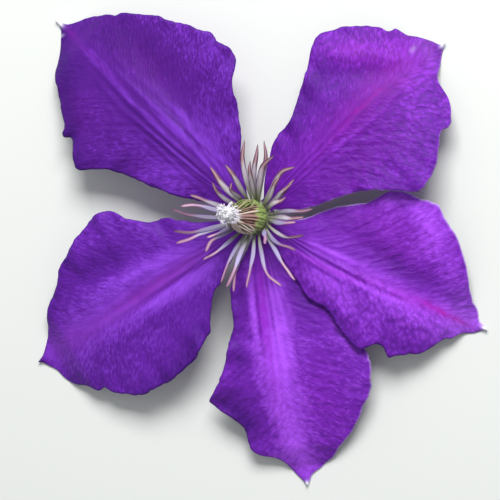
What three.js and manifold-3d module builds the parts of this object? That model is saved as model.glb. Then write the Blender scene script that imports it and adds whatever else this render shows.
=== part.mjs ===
// A single large-flowered clematis blossom, picked with a short stub of stalk and lying face up.
// Millimetres, +Z up. The flower's own axis is worked out first, and the whole group is then shifted so that its
// origin is the middle of its box, on the surface that its sepal tips rest on.
import * as THREE from "three";
import { mergeVertices } from "three/addons/utils/BufferGeometryUtils.js";
import Module from "manifold-3d";

const wasm = await Module();
wasm.setup();

// Sepals: where they leave the centre, how thick they are, and how finely they are divided. Rows crowd a little
// towards the tip, whose last rows lie flat on the surface.
const CLAW = { radius: 4.6, halfWidth: 1.9 };
const TIP_HALF_WIDTH = 0.35;
const MIDRIB_THICKNESS = 0.9;
const MARGIN_THICKNESS = 0.7;
const SEPAL_ROWS = 25;
const TIP_CROWDING = 1.25;
const SHARES_ACROSS = [0, 0.065, 0.13, 0.195, 0.3, 0.5, 0.75, 1];

// Ribs run along a sepal at even shares of its half width, and fade towards its margins and its tip.
const RIB = { relief: 0.24, spacing: 0.13, reach: 0.42, fadeFrom: 0.45, fadeTo: 0.9 };

// Ruffles of the margin: one wave's length, how steeply they fade inwards, and the second wave that breaks them up.
const RUFFLE = { length: 8.5, fade: 3.2, second: 0.45, pace: 1.7 };

// The five sepals. direction is degrees from +X; left and right are the outline, [along, across] from the flower's
// axis, with left the side that lies anticlockwise; arch is [share of the length, height of the middle];
// lifts raise or lower a margin, so that the top right sepal lies over the right one, and that over the bottom one;
// folds are broad swells and hollows as [along, across, turn in degrees, half length, half breadth, rise].
const SEPALS = [
  {
    name: "sepal_top_left",
    direction: 137.5,
    length: 72.9,
    bend: 0.6,
    arch: [[0, 8.0], [0.27, 9.9], [0.6, 8.9], [0.84, 4.4], [0.905, 1.5], [0.94, 0.05], [0.975, 0], [1, 0.5]],
    lift: { left: -0.9, right: 0.9 },
    ruffle: { left: 0.5, right: 0.4 },
    phase: { left: 0.4, right: 2.2 },
    folds: [[32, -1, 0, 26, 5, 0.7], [40, -9, -8, 18, 4, -0.6], [30, -20, -12, 10, 4, 0.6], [50, 8, 12, 10, 4, 0.3]],
    left: [[8.5, 4.1], [18.1, 9.6], [27.5, 13.4], [33.3, 15.2], [37.1, 17.8], [41.4, 22.0], [44.8, 21.0],
      [47.6, 18.5], [49.8, 18.7], [53.4, 15.9], [57.5, 13.4], [61.8, 10.9], [64.5, 8.6], [67.2, 4.9], [69.5, 1.8],
      [71.2, 0.7]],
    right: [[8.5, 5.0], [12.3, 8.1], [17.5, 13.8], [24.9, 19.4], [28.2, 23.7], [32.3, 25.7], [39.1, 24.6],
      [48.1, 20.9], [56.6, 15.8], [62.2, 10.8], [66.4, 6.9], [69.5, 2.0], [71.2, 0.6]],
  },
  {
    name: "sepal_top_right",
    direction: 43,
    length: 60.8,
    bend: 0,
    arch: [[0, 8.6], [0.27, 10.8], [0.6, 9.7], [0.84, 4.8], [0.905, 1.5], [0.94, 0.05], [0.975, 0], [1, 0.5]],
    lift: { left: 0.6, right: 1.0 },
    ruffle: { left: 0.5, right: 0.4 },
    phase: { left: 3.4, right: 0.9 },
    folds: [[46, 10, -45, 9, 2.6, 1.0], [43, 6, -40, 10, 2.6, -0.5], [28, 1, 0, 20, 5, 0.4], [30, -9, 8, 16, 4, -0.4]],
    left: [[9.8, 6.4], [16.8, 9.9], [22.5, 10.7], [28.0, 13.8], [33.0, 16.6], [38.0, 20.2], [40.6, 21.2],
      [45.6, 19.2], [49.5, 16.4], [52.4, 13.7], [54.6, 10.4], [56.2, 7.0], [57.6, 4.6], [58.9, 1.6], [59.8, 0.6]],
    right: [[8.4, 5.8], [13.1, 8.7], [18.0, 10.9], [24.2, 14.4], [28.8, 18.4], [33.0, 22.8], [36.0, 23.0],
      [41.0, 20.8], [46.4, 15.9], [48.6, 16.1], [51.0, 13.9], [52.8, 10.5], [53.6, 6.0], [56.2, 3.2], [58.6, 1.2],
      [59.8, 0.6]],
  },
  {
    name: "sepal_right",
    direction: -26.2,
    length: 60.8,
    bend: -1.5,
    arch: [[0, 8.5], [0.27, 9.8], [0.6, 8.3], [0.84, 4.1], [0.905, 1.5], [0.94, 0.05], [0.975, 0], [1, 0.5]],
    lift: { left: -1.6, right: -0.2 },
    ruffle: { left: 0.3, right: 0.3 },
    phase: { left: 1.2, right: 5.1 },
    folds: [[30, -4, 0, 22, 4, 0.8], [34, 4.5, -6, 16, 3, -0.7], [40, 14, -38, 12, 4, 0.9],
      [19, -12, -24, 11, 4, -0.7]],
    left: [[7.0, 2.8], [11.0, 5.3], [16.8, 11.0], [23.3, 15.6], [27.0, 19.4], [31.0, 21.8], [34.7, 21.8],
      [37.6, 21.2], [43.7, 17.5], [49.4, 12.2], [52.4, 8.2], [54.6, 4.9], [57.0, 2.6], [59.2, 0.8]],
    right: [[11.0, 6.4], [15.7, 9.3], [20.0, 11.6], [25.6, 12.4], [30.5, 15.2], [36.2, 17.3], [39.4, 14.4],
      [43.8, 15.4], [48.9, 12.1], [53.2, 6.6], [56.4, 3.2], [59.0, 0.9]],
  },
  {
    name: "sepal_bottom",
    direction: -80.7,
    length: 65.7,
    bend: 0.8,
    arch: [[0, 7.0], [0.27, 8.2], [0.6, 7.2], [0.84, 3.7], [0.905, 1.5], [0.94, 0.05], [0.975, 0], [1, 0.5]],
    lift: { left: -1.4, right: 0.4 },
    ruffle: { left: 0.3, right: 0.5 },
    phase: { left: 2.6, right: 4.0 },
    folds: [[32, 0, 0, 26, 4.5, 0.8], [46, -17, 30, 9, 6, -1.4], [34, -7, 4, 14, 2.6, -0.4]],
    left: [[7.5, 4.1], [15.6, 9.4], [22.5, 14.4], [29.1, 18.2], [35.3, 20.8], [39.6, 21.4], [45.4, 20.0],
      [49.1, 17.5], [54.2, 13.6], [58.0, 8.8], [60.6, 5.9], [62.6, 2.8], [64.2, 0.9]],
    right: [[9.0, 5.0], [13.1, 7.6], [17.3, 9.6], [24.3, 9.8], [28.0, 11.6], [36.0, 15.5], [42.0, 19.4],
      [46.3, 15.4], [50.5, 12.3], [55.8, 11.2], [57.8, 6.4], [60.5, 3.8], [62.8, 2.0], [64.4, 0.9]],
  },
  {
    name: "sepal_bottom_left",
    direction: -148.4,
    length: 68.3,
    bend: 2.0,
    arch: [[0, 7.8], [0.27, 9.5], [0.6, 8.4], [0.84, 4.2], [0.905, 1.5], [0.94, 0.05], [0.975, 0], [1, 0.5]],
    lift: { left: -0.4, right: -0.4 },
    ruffle: { left: 0.4, right: 0.5 },
    phase: { left: 5.6, right: 1.7 },
    folds: [[32, 6.5, 3, 22, 3, 0.7], [28, -3.5, -8, 16, 2.6, 0.5], [40, -9, -10, 12, 3.4, -0.7],
      [27, -15, -62, 6, 2.4, 1.0], [22.5, -12, -62, 5, 2, -0.5], [46, -16, -70, 4, 2, 0.6]],
    left: [[9.0, 4.6], [13.5, 7.2], [19.1, 10.9], [21.8, 13.6], [24.6, 17.8], [29.1, 20.4], [36.3, 22.2],
      [44.3, 21.9], [50.6, 19.6], [56.2, 14.8], [60.2, 11.4], [62.6, 9.0], [65.2, 5.2], [66.8, 1.4], [67.4, 0.6]],
    right: [[8.8, 4.2], [13.3, 7.0], [18.3, 10.9], [23.1, 13.0], [27.5, 16.8], [31.5, 21.2], [37.8, 21.0],
      [44.5, 18.8], [51.3, 14.8], [55.2, 11.9], [58.2, 10.0], [61.8, 5.9], [64.8, 2.4], [67.0, 0.7]],
  },
];

// Receptacle and the stub of the stalk, as [radius, height] from the cut end up.
const RECEPTACLE_PROFILE = [[0, 0.9], [1.15, 0.9], [1.2, 3.6], [1.7, 4.6], [3.4, 5.7], [4.2, 6.4], [4.25, 9.2],
  [3.0, 9.8], [2.7, 11.2], [0, 11.2]];
const RECEPTACLE_SIDES = 20;

// Stamens: the collar that they grow from, the ribbon's half widths at shares of its length, and each one's
// [direction of its tip, reach, rise, swing], where the swing turns its middle away from the tip's direction.
const COLLAR_PROFILE = [[3.1, 10.4], [3.7, 10.0], [4.3, 10.2], [4.4, 10.9], [3.9, 11.3], [3.1, 11.2]];
const STAMEN_ROOT = { radius: 3.95, height: 10.7 };
const STAMEN_COURSE = { reach: [0.35, 0.7], rise: [0.5, 0.85], swing: [1, 0.8] };
const STAMEN_STATIONS = 7;
const STAMEN_SIDES = 4;
const STAMEN_HALF_WIDTHS = [[0, 0.45], [0.3, 0.72], [0.55, 0.5], [0.75, 0.5], [1, 0.16]];
const STAMEN_THICKNESS = 0.62;
const STAMENS = [
  [-167, 18.4, 7.0, 3], [-157.8, 18.6, 6.6, -4], [-148, 16.2, 7.6, 3], [-142.5, 12.8, 8.0, -5],
  [-135.5, 14.8, 6.8, 4], [-112, 16.9, 6.8, -3], [-107, 17.3, 7.6, 3], [-99.5, 18.1, 6.8, -5],
  [-88, 16.8, 6.9, 2], [-63, 18.4, 6.5, -8], [-51.5, 19.1, 7.0, -3], [-49, 7.9, 7.6, 2],
  [-33, 14.2, 6.9, -12], [-18.3, 14.4, 7.1, -14], [-6, 12.2, 7.4, -5], [1.8, 14.0, 7.0, -4],
  [4.5, 16.2, 6.6, 3], [22, 10.8, 7.8, 5], [30.5, 13.6, 7.2, 4], [36, 14.6, 6.8, -3],
  [45, 16.1, 7.3, 4], [54, 11.6, 8.4, -4], [64.5, 15.3, 7.6, 8], [75, 17.7, 7.1, -3],
  [81, 16.4, 8.0, 4], [87.5, 13.1, 8.6, -4], [93, 18.0, 7.4, 3], [112, 12.5, 7.9, -5],
  [118, 8.9, 7.8, 3], [125.5, 14.2, 7.2, 6], [137, 11.8, 7.6, 7], [157.5, 14.8, 7.1, 3],
  [170.8, 16.3, 7.7, -3], [177, 18.7, 6.9, 3],
];

// Pistils: a dome of carpels that leans over, as [share of its height, radius], and the styles laid up over it.
const PISTIL_BASE = 11.9;
const PISTIL_HEIGHT = 7.2;
const PISTIL_LEAN = { reach: -3.4, power: 1.3 };
const DOME_PROFILE = [[0, 2.6], [0.12, 3.5], [0.28, 4.1], [0.46, 4.0], [0.66, 3.1], [0.84, 2.0], [1, 1.4]];
const DOME_SIDES = 14;
const STYLE = { count: 16, radius: 0.45, stations: 5, sides: 3, start: 0.16, startSpread: 0.2, end: 0.97, proud: 0.1 };
const STYLE_TURN = 0.35;

// The tuft of stigmas: a small core, shifted a little off the pistils' end, with short curls standing out of it all
// round, down to a little below level.
const TUFT = { core: 1.3, reach: 3.0, count: 26, radius: 0.36, gap: 0.3, spread: 1.05, curl: 0.9, x: -0.5, y: 0.5 };
const CURL = { stations: 3, sides: 3, root: 0.4, middle: 0.65, shortest: 0.8, taper: 0.4, tilt: 0.3 };
const GOLDEN_ANGLE = 137.5;

const DEG = Math.PI / 180;
const SAME_CORNER = 1e-4;
const DRAW = { pace: 127.1, start: 311.7, spread: 43758.5453 };

// A smooth value at x through [x, value] stations, whose slopes come from their neighbours.
function smoothValue(stations, x) {
  const last = stations.length - 1;
  if (x <= stations[0][0]) return stations[0][1];
  if (x >= stations[last][0]) return stations[last][1];
  let k = 0;
  while (stations[k + 1][0] < x) k += 1;
  const slope = (i) => {
    const before = stations[Math.max(i - 1, 0)];
    const after = stations[Math.min(i + 1, last)];
    return (after[1] - before[1]) / (after[0] - before[0]);
  };
  const [x0, y0] = stations[k];
  const [x1, y1] = stations[k + 1];
  const span = x1 - x0;
  const s = (x - x0) / span;
  const rest = 1 - s;
  return (
    (1 + 2 * s) * rest * rest * y0 +
    s * rest * rest * span * slope(k) +
    s * s * (3 - 2 * s) * y1 -
    s * s * rest * span * slope(k + 1)
  );
}

// A number from 0 to 1 for each whole number, the same on every run.
function draw(number) {
  const wave = Math.sin(number * DRAW.pace + DRAW.start) * DRAW.spread;
  return wave - Math.floor(wave);
}

// Indexed geometry from a flat list of coordinates and a list of corner numbers.
function geometryOf(points, corners) {
  const geometry = new THREE.BufferGeometry();
  geometry.setAttribute("position", new THREE.Float32BufferAttribute(points, 3));
  geometry.setIndex(corners);
  return geometry;
}

// The edge of one side of a sepal, from its claw to its tip, as [along, half width].
function edgeStations(sepal, side) {
  return [[CLAW.radius, CLAW.halfWidth], ...sepal[side], [sepal.length, TIP_HALF_WIDTH]];
}

// The broad swells and hollows of a sepal at a point in its own plan.
function foldHeight(sepal, along, across) {
  return sepal.folds.reduce((sum, [u, v, turn, halfLength, halfBreadth, rise]) => {
    const lengthways = (along - u) * Math.cos(turn * DEG) + (across - v) * Math.sin(turn * DEG);
    const sideways = (across - v) * Math.cos(turn * DEG) - (along - u) * Math.sin(turn * DEG);
    return sum + rise * Math.exp(-((lengthways / halfLength) ** 2) - (sideways / halfBreadth) ** 2);
  }, 0);
}

// The height of a sepal's middle surface at a distance along it, a distance across it and that distance's signed
// share of the half width.
function sepalHeight(sepal, along, across, share) {
  const { smoothstep } = THREE.MathUtils;
  const s = along / sepal.length;
  const side = share > 0 ? "left" : "right";
  const out = Math.abs(share);
  const swell = Math.sin(Math.PI * s);
  const turn = (2 * Math.PI * along) / RUFFLE.length + sepal.phase[side];
  const waves = Math.sin(turn) + RUFFLE.second * Math.sin(RUFFLE.pace * turn);
  const ribs =
    Math.cos((2 * Math.PI * out) / RIB.spacing) *
    (1 - smoothstep(out, 0, RIB.reach)) *
    (1 - smoothstep(s, RIB.fadeFrom, RIB.fadeTo));
  return (
    smoothValue(sepal.arch, s) +
    sepal.lift[side] * swell * out * out +
    sepal.ruffle[side] * swell * waves * out ** RUFFLE.fade +
    Math.sqrt(swell) * (foldHeight(sepal, along, across) + RIB.relief * ribs)
  );
}

// One sepal as a thin blade along +X, with the same split into triangles on both faces.
function sepalGeometry(sepal) {
  const right = SHARES_ACROSS.slice(1).map((share) => -share);
  const shares = [...right.reverse(), ...SHARES_ACROSS];
  const edges = { left: edgeStations(sepal, "left"), right: edgeStations(sepal, "right") };
  const top = [];
  const bottom = [];
  for (let row = 0; row <= SEPAL_ROWS; row += 1) {
    const toTip = (1 - row / SEPAL_ROWS) ** TIP_CROWDING;
    const along = THREE.MathUtils.lerp(sepal.length, CLAW.radius, toTip);
    const middle = sepal.bend * Math.sin((Math.PI * along) / sepal.length);
    for (const share of shares) {
      const edge = smoothValue(edges[share > 0 ? "left" : "right"], along);
      const across = middle + share * (edge - Math.sign(share) * middle);
      const half = THREE.MathUtils.lerp(MIDRIB_THICKNESS, MARGIN_THICKNESS, Math.abs(share)) / 2;
      const height = Math.max(sepalHeight(sepal, along, across, share), half);
      top.push(along, across, height + half);
      bottom.push(along, across, height - half);
    }
  }
  const columns = shares.length;
  const under = top.length / 3;
  const corners = [];
  const wall = (a, b) => corners.push(a, a + under, b, b, a + under, b + under);
  for (let row = 0; row < SEPAL_ROWS; row += 1) {
    for (let column = 0; column < columns - 1; column += 1) {
      const a = row * columns + column;
      const b = a + columns;
      corners.push(a, b, b + 1, a, b + 1, a + 1);
      corners.push(a + under, b + 1 + under, b + under, a + under, a + 1 + under, b + 1 + under);
    }
    wall(row * columns, (row + 1) * columns);
    wall((row + 2) * columns - 1, (row + 1) * columns - 1);
  }
  for (let column = 0; column < columns - 1; column += 1) {
    wall(column + 1, column);
    wall(SEPAL_ROWS * columns + column, SEPAL_ROWS * columns + column + 1);
  }
  return geometryOf([...top, ...bottom], corners);
}

// A closed tube through rings of points: each ring is a list of corners, and the last one ends in a point.
function tubeGeometry(rings, tip) {
  const sides = rings[0].length;
  const points = rings.flat().flatMap((p) => [p.x, p.y, p.z]);
  const corners = [];
  for (let i = 0; i < rings.length - 1; i += 1) {
    for (let j = 0; j < sides; j += 1) {
      const a = i * sides + j;
      const b = i * sides + ((j + 1) % sides);
      corners.push(a, b, b + sides, a, b + sides, a + sides);
    }
  }
  const end = rings.length * sides;
  points.push(tip.x, tip.y, tip.z);
  for (let j = 0; j < sides; j += 1) {
    corners.push(end - sides + j, end - sides + ((j + 1) % sides), end);
  }
  for (let j = 1; j < sides - 1; j += 1) corners.push(0, j + 1, j);
  return geometryOf(points, corners);
}

// The sections of a rod along a curve: half width across and half thickness up at each station.
function rodGeometry(curve, stations, sides, sizeAt, flatSide) {
  const rings = [];
  for (let i = 0; i < stations; i += 1) {
    const s = i / stations;
    const centre = curve.getPoint(s);
    const ahead = curve.getTangent(s);
    const across = flatSide.clone().cross(ahead).normalize();
    const up = ahead.clone().cross(across).normalize();
    const { width, thickness } = sizeAt(s);
    const ring = [];
    for (let j = 0; j < sides; j += 1) {
      const angle = (2 * Math.PI * j) / sides;
      ring.push(
        centre
          .clone()
          .addScaledVector(across, width * Math.cos(angle))
          .addScaledVector(up, thickness * Math.sin(angle)),
      );
    }
    rings.push(ring);
  }
  return tubeGeometry(rings, curve.getPoint(1));
}

// Joining by the boolean library, which wants shared corners merged.
function solidOf(geometry) {
  const bare = geometry.clone();
  bare.deleteAttribute("normal");
  bare.deleteAttribute("uv");
  const merged = mergeVertices(bare, SAME_CORNER);
  const vertProperties = new Float32Array(merged.attributes.position.array);
  const triVerts = new Uint32Array(merged.index.array);
  return new wasm.Manifold(new wasm.Mesh({ numProp: 3, vertProperties, triVerts }));
}

// The pieces joined as one body: hollows that the joining seals are filled, and loose scraps are dropped.
function fused(geometries) {
  const joined = geometries.map(solidOf).reduce((all, next) => all.add(next));
  const bodies = joined.decompose();
  const largest = bodies.reduce((best, body) => (body.volume() > best.volume() ? body : best));
  const { vertProperties, triVerts } = largest.getMesh();
  return geometryOf(Array.from(vertProperties), Array.from(triVerts));
}

// A turned shape about +Z from [radius, height] stations.
function turned(profile, sides) {
  const outline = profile.map(([radius, height]) => new THREE.Vector2(radius, height));
  return new THREE.LatheGeometry(outline, sides).rotateX(Math.PI / 2);
}

function receptacle() {
  return fused([turned(RECEPTACLE_PROFILE, RECEPTACLE_SIDES)]);
}

function stamen([direction, reach, rise, swing]) {
  const { radius, height } = STAMEN_ROOT;
  const at = (reachShare, riseShare, swingShare) => {
    const out = THREE.MathUtils.lerp(radius, reach, reachShare);
    const angle = (direction + swing * swingShare) * DEG;
    return new THREE.Vector3(out * Math.cos(angle), out * Math.sin(angle), height + rise * riseShare);
  };
  const course = STAMEN_COURSE;
  const between = course.reach.map((share, i) => at(share, course.rise[i], course.swing[i]));
  const curve = new THREE.CatmullRomCurve3([at(0, 0, course.swing[0]), ...between, at(1, 1, 0)]);
  const sizeAt = (s) => ({ width: smoothValue(STAMEN_HALF_WIDTHS, s), thickness: STAMEN_THICKNESS / 2 });
  return rodGeometry(curve, STAMEN_STATIONS, STAMEN_SIDES, sizeAt, new THREE.Vector3(0, 0, 1));
}

function stamens() {
  const collar = turned([...COLLAR_PROFILE, COLLAR_PROFILE[0]], RECEPTACLE_SIDES);
  return fused([collar, ...STAMENS.map(stamen)]);
}

// The pistils' middle line bends over as it rises: 0 at the base, the full lean at the tuft.
function leanAt(share) {
  return PISTIL_LEAN.reach * share ** PISTIL_LEAN.power;
}

function pistilPoint(share, radius, angle) {
  return new THREE.Vector3(
    leanAt(share) + radius * Math.cos(angle),
    radius * Math.sin(angle),
    PISTIL_BASE + share * PISTIL_HEIGHT,
  );
}

function dome() {
  const rings = DOME_PROFILE.map(([share, radius]) => {
    const ring = [];
    for (let j = 0; j < DOME_SIDES; j += 1) ring.push(pistilPoint(share, radius, (2 * Math.PI * j) / DOME_SIDES));
    return ring;
  });
  return tubeGeometry(rings, pistilPoint(1, 0, 0));
}

// One style: it starts low on the dome, lies on it and turns a little on its way up to the tuft.
function style(number) {
  const angle = (2 * Math.PI * (number + draw(number) / 2)) / STYLE.count;
  const start = STYLE.start + STYLE.startSpread * draw(number + STYLE.count);
  const turn = STYLE_TURN * (draw(number + 2 * STYLE.count) - 1 / 2);
  const points = [];
  for (let i = 0; i <= STYLE.stations; i += 1) {
    const share = THREE.MathUtils.lerp(start, STYLE.end, i / STYLE.stations);
    const radius = smoothValue(DOME_PROFILE, share) + STYLE.proud;
    points.push(pistilPoint(share, radius, angle + turn * (share - start)));
  }
  const curve = new THREE.CatmullRomCurve3(points);
  const outward = new THREE.Vector3(Math.cos(angle), Math.sin(angle), 0);
  const sizeAt = () => ({ width: STYLE.radius, thickness: STYLE.radius });
  return rodGeometry(curve, STYLE.stations, STYLE.sides, sizeAt, outward);
}

function pistils() {
  const styles = Array.from({ length: STYLE.count }, (_, number) => style(number));
  return fused([dome(), ...styles]);
}

// One curl of the tuft about its middle: it stands out at its own height and bends to one side at its end.
function tuftCurl(number, middle) {
  const rise = 1 - (TUFT.spread * (number + 1 / 2)) / TUFT.count;
  const flat = Math.sqrt(1 - rise * rise);
  const angle = number * GOLDEN_ANGLE * DEG;
  const out = new THREE.Vector3(flat * Math.cos(angle), flat * Math.sin(angle), rise);
  const side = new THREE.Vector3(-Math.sin(angle), Math.cos(angle), CURL.tilt);
  const reach = TUFT.reach * THREE.MathUtils.lerp(CURL.shortest, 1, draw(number));
  const bend = TUFT.curl * (draw(number + TUFT.count) - 1 / 2);
  const curve = new THREE.CatmullRomCurve3([
    middle.clone().addScaledVector(out, CURL.root * TUFT.core),
    middle.clone().addScaledVector(out, CURL.middle * reach),
    middle.clone().addScaledVector(out, reach).addScaledVector(side, bend),
  ]);
  const sizeAt = (s) => {
    const radius = TUFT.radius * (1 - CURL.taper * s);
    return { width: radius, thickness: radius };
  };
  return rodGeometry(curve, CURL.stations, CURL.sides, sizeAt, side.normalize());
}

function stigmas() {
  const middle = pistilPoint(1, 0, 0).add(new THREE.Vector3(TUFT.x, TUFT.y, TUFT.gap + TUFT.core));
  const core = new THREE.IcosahedronGeometry(TUFT.core, 1).translate(middle.x, middle.y, middle.z);
  const curls = Array.from({ length: TUFT.count }, (_, number) => tuftCurl(number, middle));
  return fused([core, ...curls]);
}

const purple = new THREE.MeshStandardMaterial({ color: 0x6a2cae, roughness: 0.6, metalness: 0 });
const stalkGreen = new THREE.MeshStandardMaterial({ color: 0x8fa860, roughness: 0.6, metalness: 0 });
const paleLavender = new THREE.MeshStandardMaterial({ color: 0xc9b9cf, roughness: 0.55, metalness: 0 });
const carpelGreen = new THREE.MeshStandardMaterial({ color: 0x9aa35a, roughness: 0.6, metalness: 0 });
const stigmaWhite = new THREE.MeshStandardMaterial({ color: 0xe8e2f0, roughness: 0.7, metalness: 0 });

const flower = new THREE.Group();
function addPiece(name, geometry, material) {
  const piece = new THREE.Mesh(geometry, material);
  piece.name = name;
  flower.add(piece);
  return piece;
}

for (const sepal of SEPALS) addPiece(sepal.name, sepalGeometry(sepal), purple).rotation.z = sepal.direction * DEG;
addPiece("receptacle_stalk", receptacle(), stalkGreen);
addPiece("stamens", stamens(), paleLavender);
addPiece("pistils", pistils(), carpelGreen);
addPiece("stigmas", stigmas(), stigmaWhite);

// The origin is the middle of the flower's box, on the surface that it lies on.
flower.updateMatrixWorld(true);
const box = new THREE.Box3().setFromObject(flower, true);
flower.position.set(-(box.min.x + box.max.x) / 2, -(box.min.y + box.max.y) / 2, -box.min.z);

const group = new THREE.Group();
group.add(flower);

export default group;
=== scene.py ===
"""One clematis blossom, picked and lying face up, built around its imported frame."""

import math

import bmesh
import bpy
import numpy as np
from mathutils import Matrix, Vector


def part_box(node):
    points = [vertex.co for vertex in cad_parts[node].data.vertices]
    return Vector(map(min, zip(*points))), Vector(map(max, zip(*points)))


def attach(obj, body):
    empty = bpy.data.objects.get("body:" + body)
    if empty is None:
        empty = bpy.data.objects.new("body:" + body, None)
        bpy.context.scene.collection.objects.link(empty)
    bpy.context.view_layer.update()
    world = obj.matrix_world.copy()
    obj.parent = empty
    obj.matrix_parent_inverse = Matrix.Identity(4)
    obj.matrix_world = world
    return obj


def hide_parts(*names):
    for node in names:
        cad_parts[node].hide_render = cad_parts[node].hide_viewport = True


bl_info = {
    "name": "Clematis blossom",
    "version": (1, 0, 0),
    "blender": (4, 5, 0),
    "location": "3D View > Sidebar > Clematis",
    "description": "Builds a clematis blossom, lying face up, around its packed frame",
    "category": "Add Mesh",
}

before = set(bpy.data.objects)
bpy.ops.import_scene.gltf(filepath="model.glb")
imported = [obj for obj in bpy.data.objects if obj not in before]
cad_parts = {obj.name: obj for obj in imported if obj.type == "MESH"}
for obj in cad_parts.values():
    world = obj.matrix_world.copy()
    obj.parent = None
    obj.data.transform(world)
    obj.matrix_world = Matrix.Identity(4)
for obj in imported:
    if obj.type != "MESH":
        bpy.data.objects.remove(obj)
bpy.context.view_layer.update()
MM = 0.001
GOLDEN_ANGLE = math.radians(137.5)

# The flower's own axis, in plan, is the middle of the receptacle. Sizes below are in millimetres from it.
STALK_LOW, STALK_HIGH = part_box("receptacle_stalk")
AXIS = (STALK_LOW + STALK_HIGH) / 2


def colour(red, green, blue):
    """A colour given as it looks on screen, 0 to 255, as the linear values and the alpha of a socket."""
    shares = (red / 255, green / 255, blue / 255)
    return (*(c / 12.92 if c <= 0.04045 else ((c + 0.055) / 1.055) ** 2.4 for c in shares), 1.0)


def opaque(tint):
    """A colour from the panel with the alpha that a socket takes."""
    return (*tint, 1.0)


# How finely a sepal is divided.
STEPS_ALONG = 236
STEPS_ACROSS = 156

# A sepal starts in a claw, with its root and, at its end, (along, half width), and ends in a narrow point.
CLAW_ROOT = 3.7
CLAW_END = (4.6, 1.9)
TIP_HALF_WIDTH = 0.18

# Small teeth along its margin, as (length, breadth, depth). Each side takes its own row of the noise.
MARGIN_TEETH = [(2.6, 1, 0.12), (0.9, 1, 0.13)]
TEETH_ROWS = (3.0, 41.0)
TEETH_FADE = (1.5, 5.0)

# The height of its midrib is given at these shares of its length, and then comes down in the same way.
ARCH_MARKS = (0, 0.27, 0.6, 0.84)
ARCH_END = [(0.905, 1.5), (0.94, 0.05), (0.975, 0), (1, 0.5)]

# Ribs run lengthways beside the midrib, and show stronger below.
RIB_RELIEF = 0.14
RIB_BULGE = 0.16
RIB_SPACING = 0.13
RIB_REACH = 0.42
RIB_FADE = (0.9, 0.45)
RIB_UNEVENNESS = 0.35
RIB_CELL = (5.0, 1.5)

# The margin is waved in two waves, and the last of it turns down and is thinner.
RUFFLE_LENGTH = 8.5
RUFFLE_FADE = 3.2
SECOND_RUFFLE = 0.45
SECOND_PACE = 1.7
MARGIN_TURN = 0.22
MARGIN_BREADTH = 0.9
# RIM_BREADTH is how far in from the margin the rim's painted highlight and painted shade reach.
RIM_BREADTH = 0.45
THIN_EDGE = 0.35
THIN_START = 0.97

# Side veins leave the midrib steeply and then bend outwards. Crinkles and puffs follow them, in layers of
# (length, breadth, amount), calmer beside the midrib and gone at the claw and the tip.
VEIN_START = 0.5
CRINKLES = [(0.8, 3.4, 1), (1.9, 5.0, 0.5)]
PUFFS = [(1.6, 2.2, 1)]
FINE_PUFFS = [(1.1, 1.1, 0.6)]
LEAST_PUFF = 0.4
MIDRIB_CALM = 0.35
CALM_FADE = (1.5, 5.0)
RELIEF_START = (6, 14)
RELIEF_END = (1.0, 0.93)

# How softly the lowest parts flatten on the surface.
FLAT_BLEND = 0.5
FLAT_BLEND_EDGE = 1.1

# The painted pattern: streaks along the side veins, puffs between them and rows that run lengthways near
# the base. Cells are for a millimetre along and across, and for half the breadth in the rows' first one.
# This pattern is also painted into the colour: painted highlight on its crests and painted shade in its
# grooves.
SWAY_CELLS = 0.6
STREAK_CELLS = (1.7, 0.8)
STREAK_SWAY = 1.9
STREAK_GAIN = 2.4
PUFF_RUN = (0.55, 0.45)
PUFF_SWAY = 2.4
PUFF_CELLS_ACROSS = 0.62
PUFF_EDGE = 0.36
PUFF_GAIN = 2.6
ROW_CELLS = (17.0, 0.11)
ROW_GAIN = 1.5
ROW_REACH = 0.7
ROW_NARROWING = 0.3
ROW_CORE = 0.15
PATCH_CELLS = 0.2
FLECK_CELLS = 0.6
# How strongly the pattern is painted into the colour as highlight and shade: at the base, and gained towards
# the tip.
CRINKLE_SHADING_AT_BASE = 0.7
CRINKLE_SHADING_GAIN = 0.65
TONE_SPAN = 1.2
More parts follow.
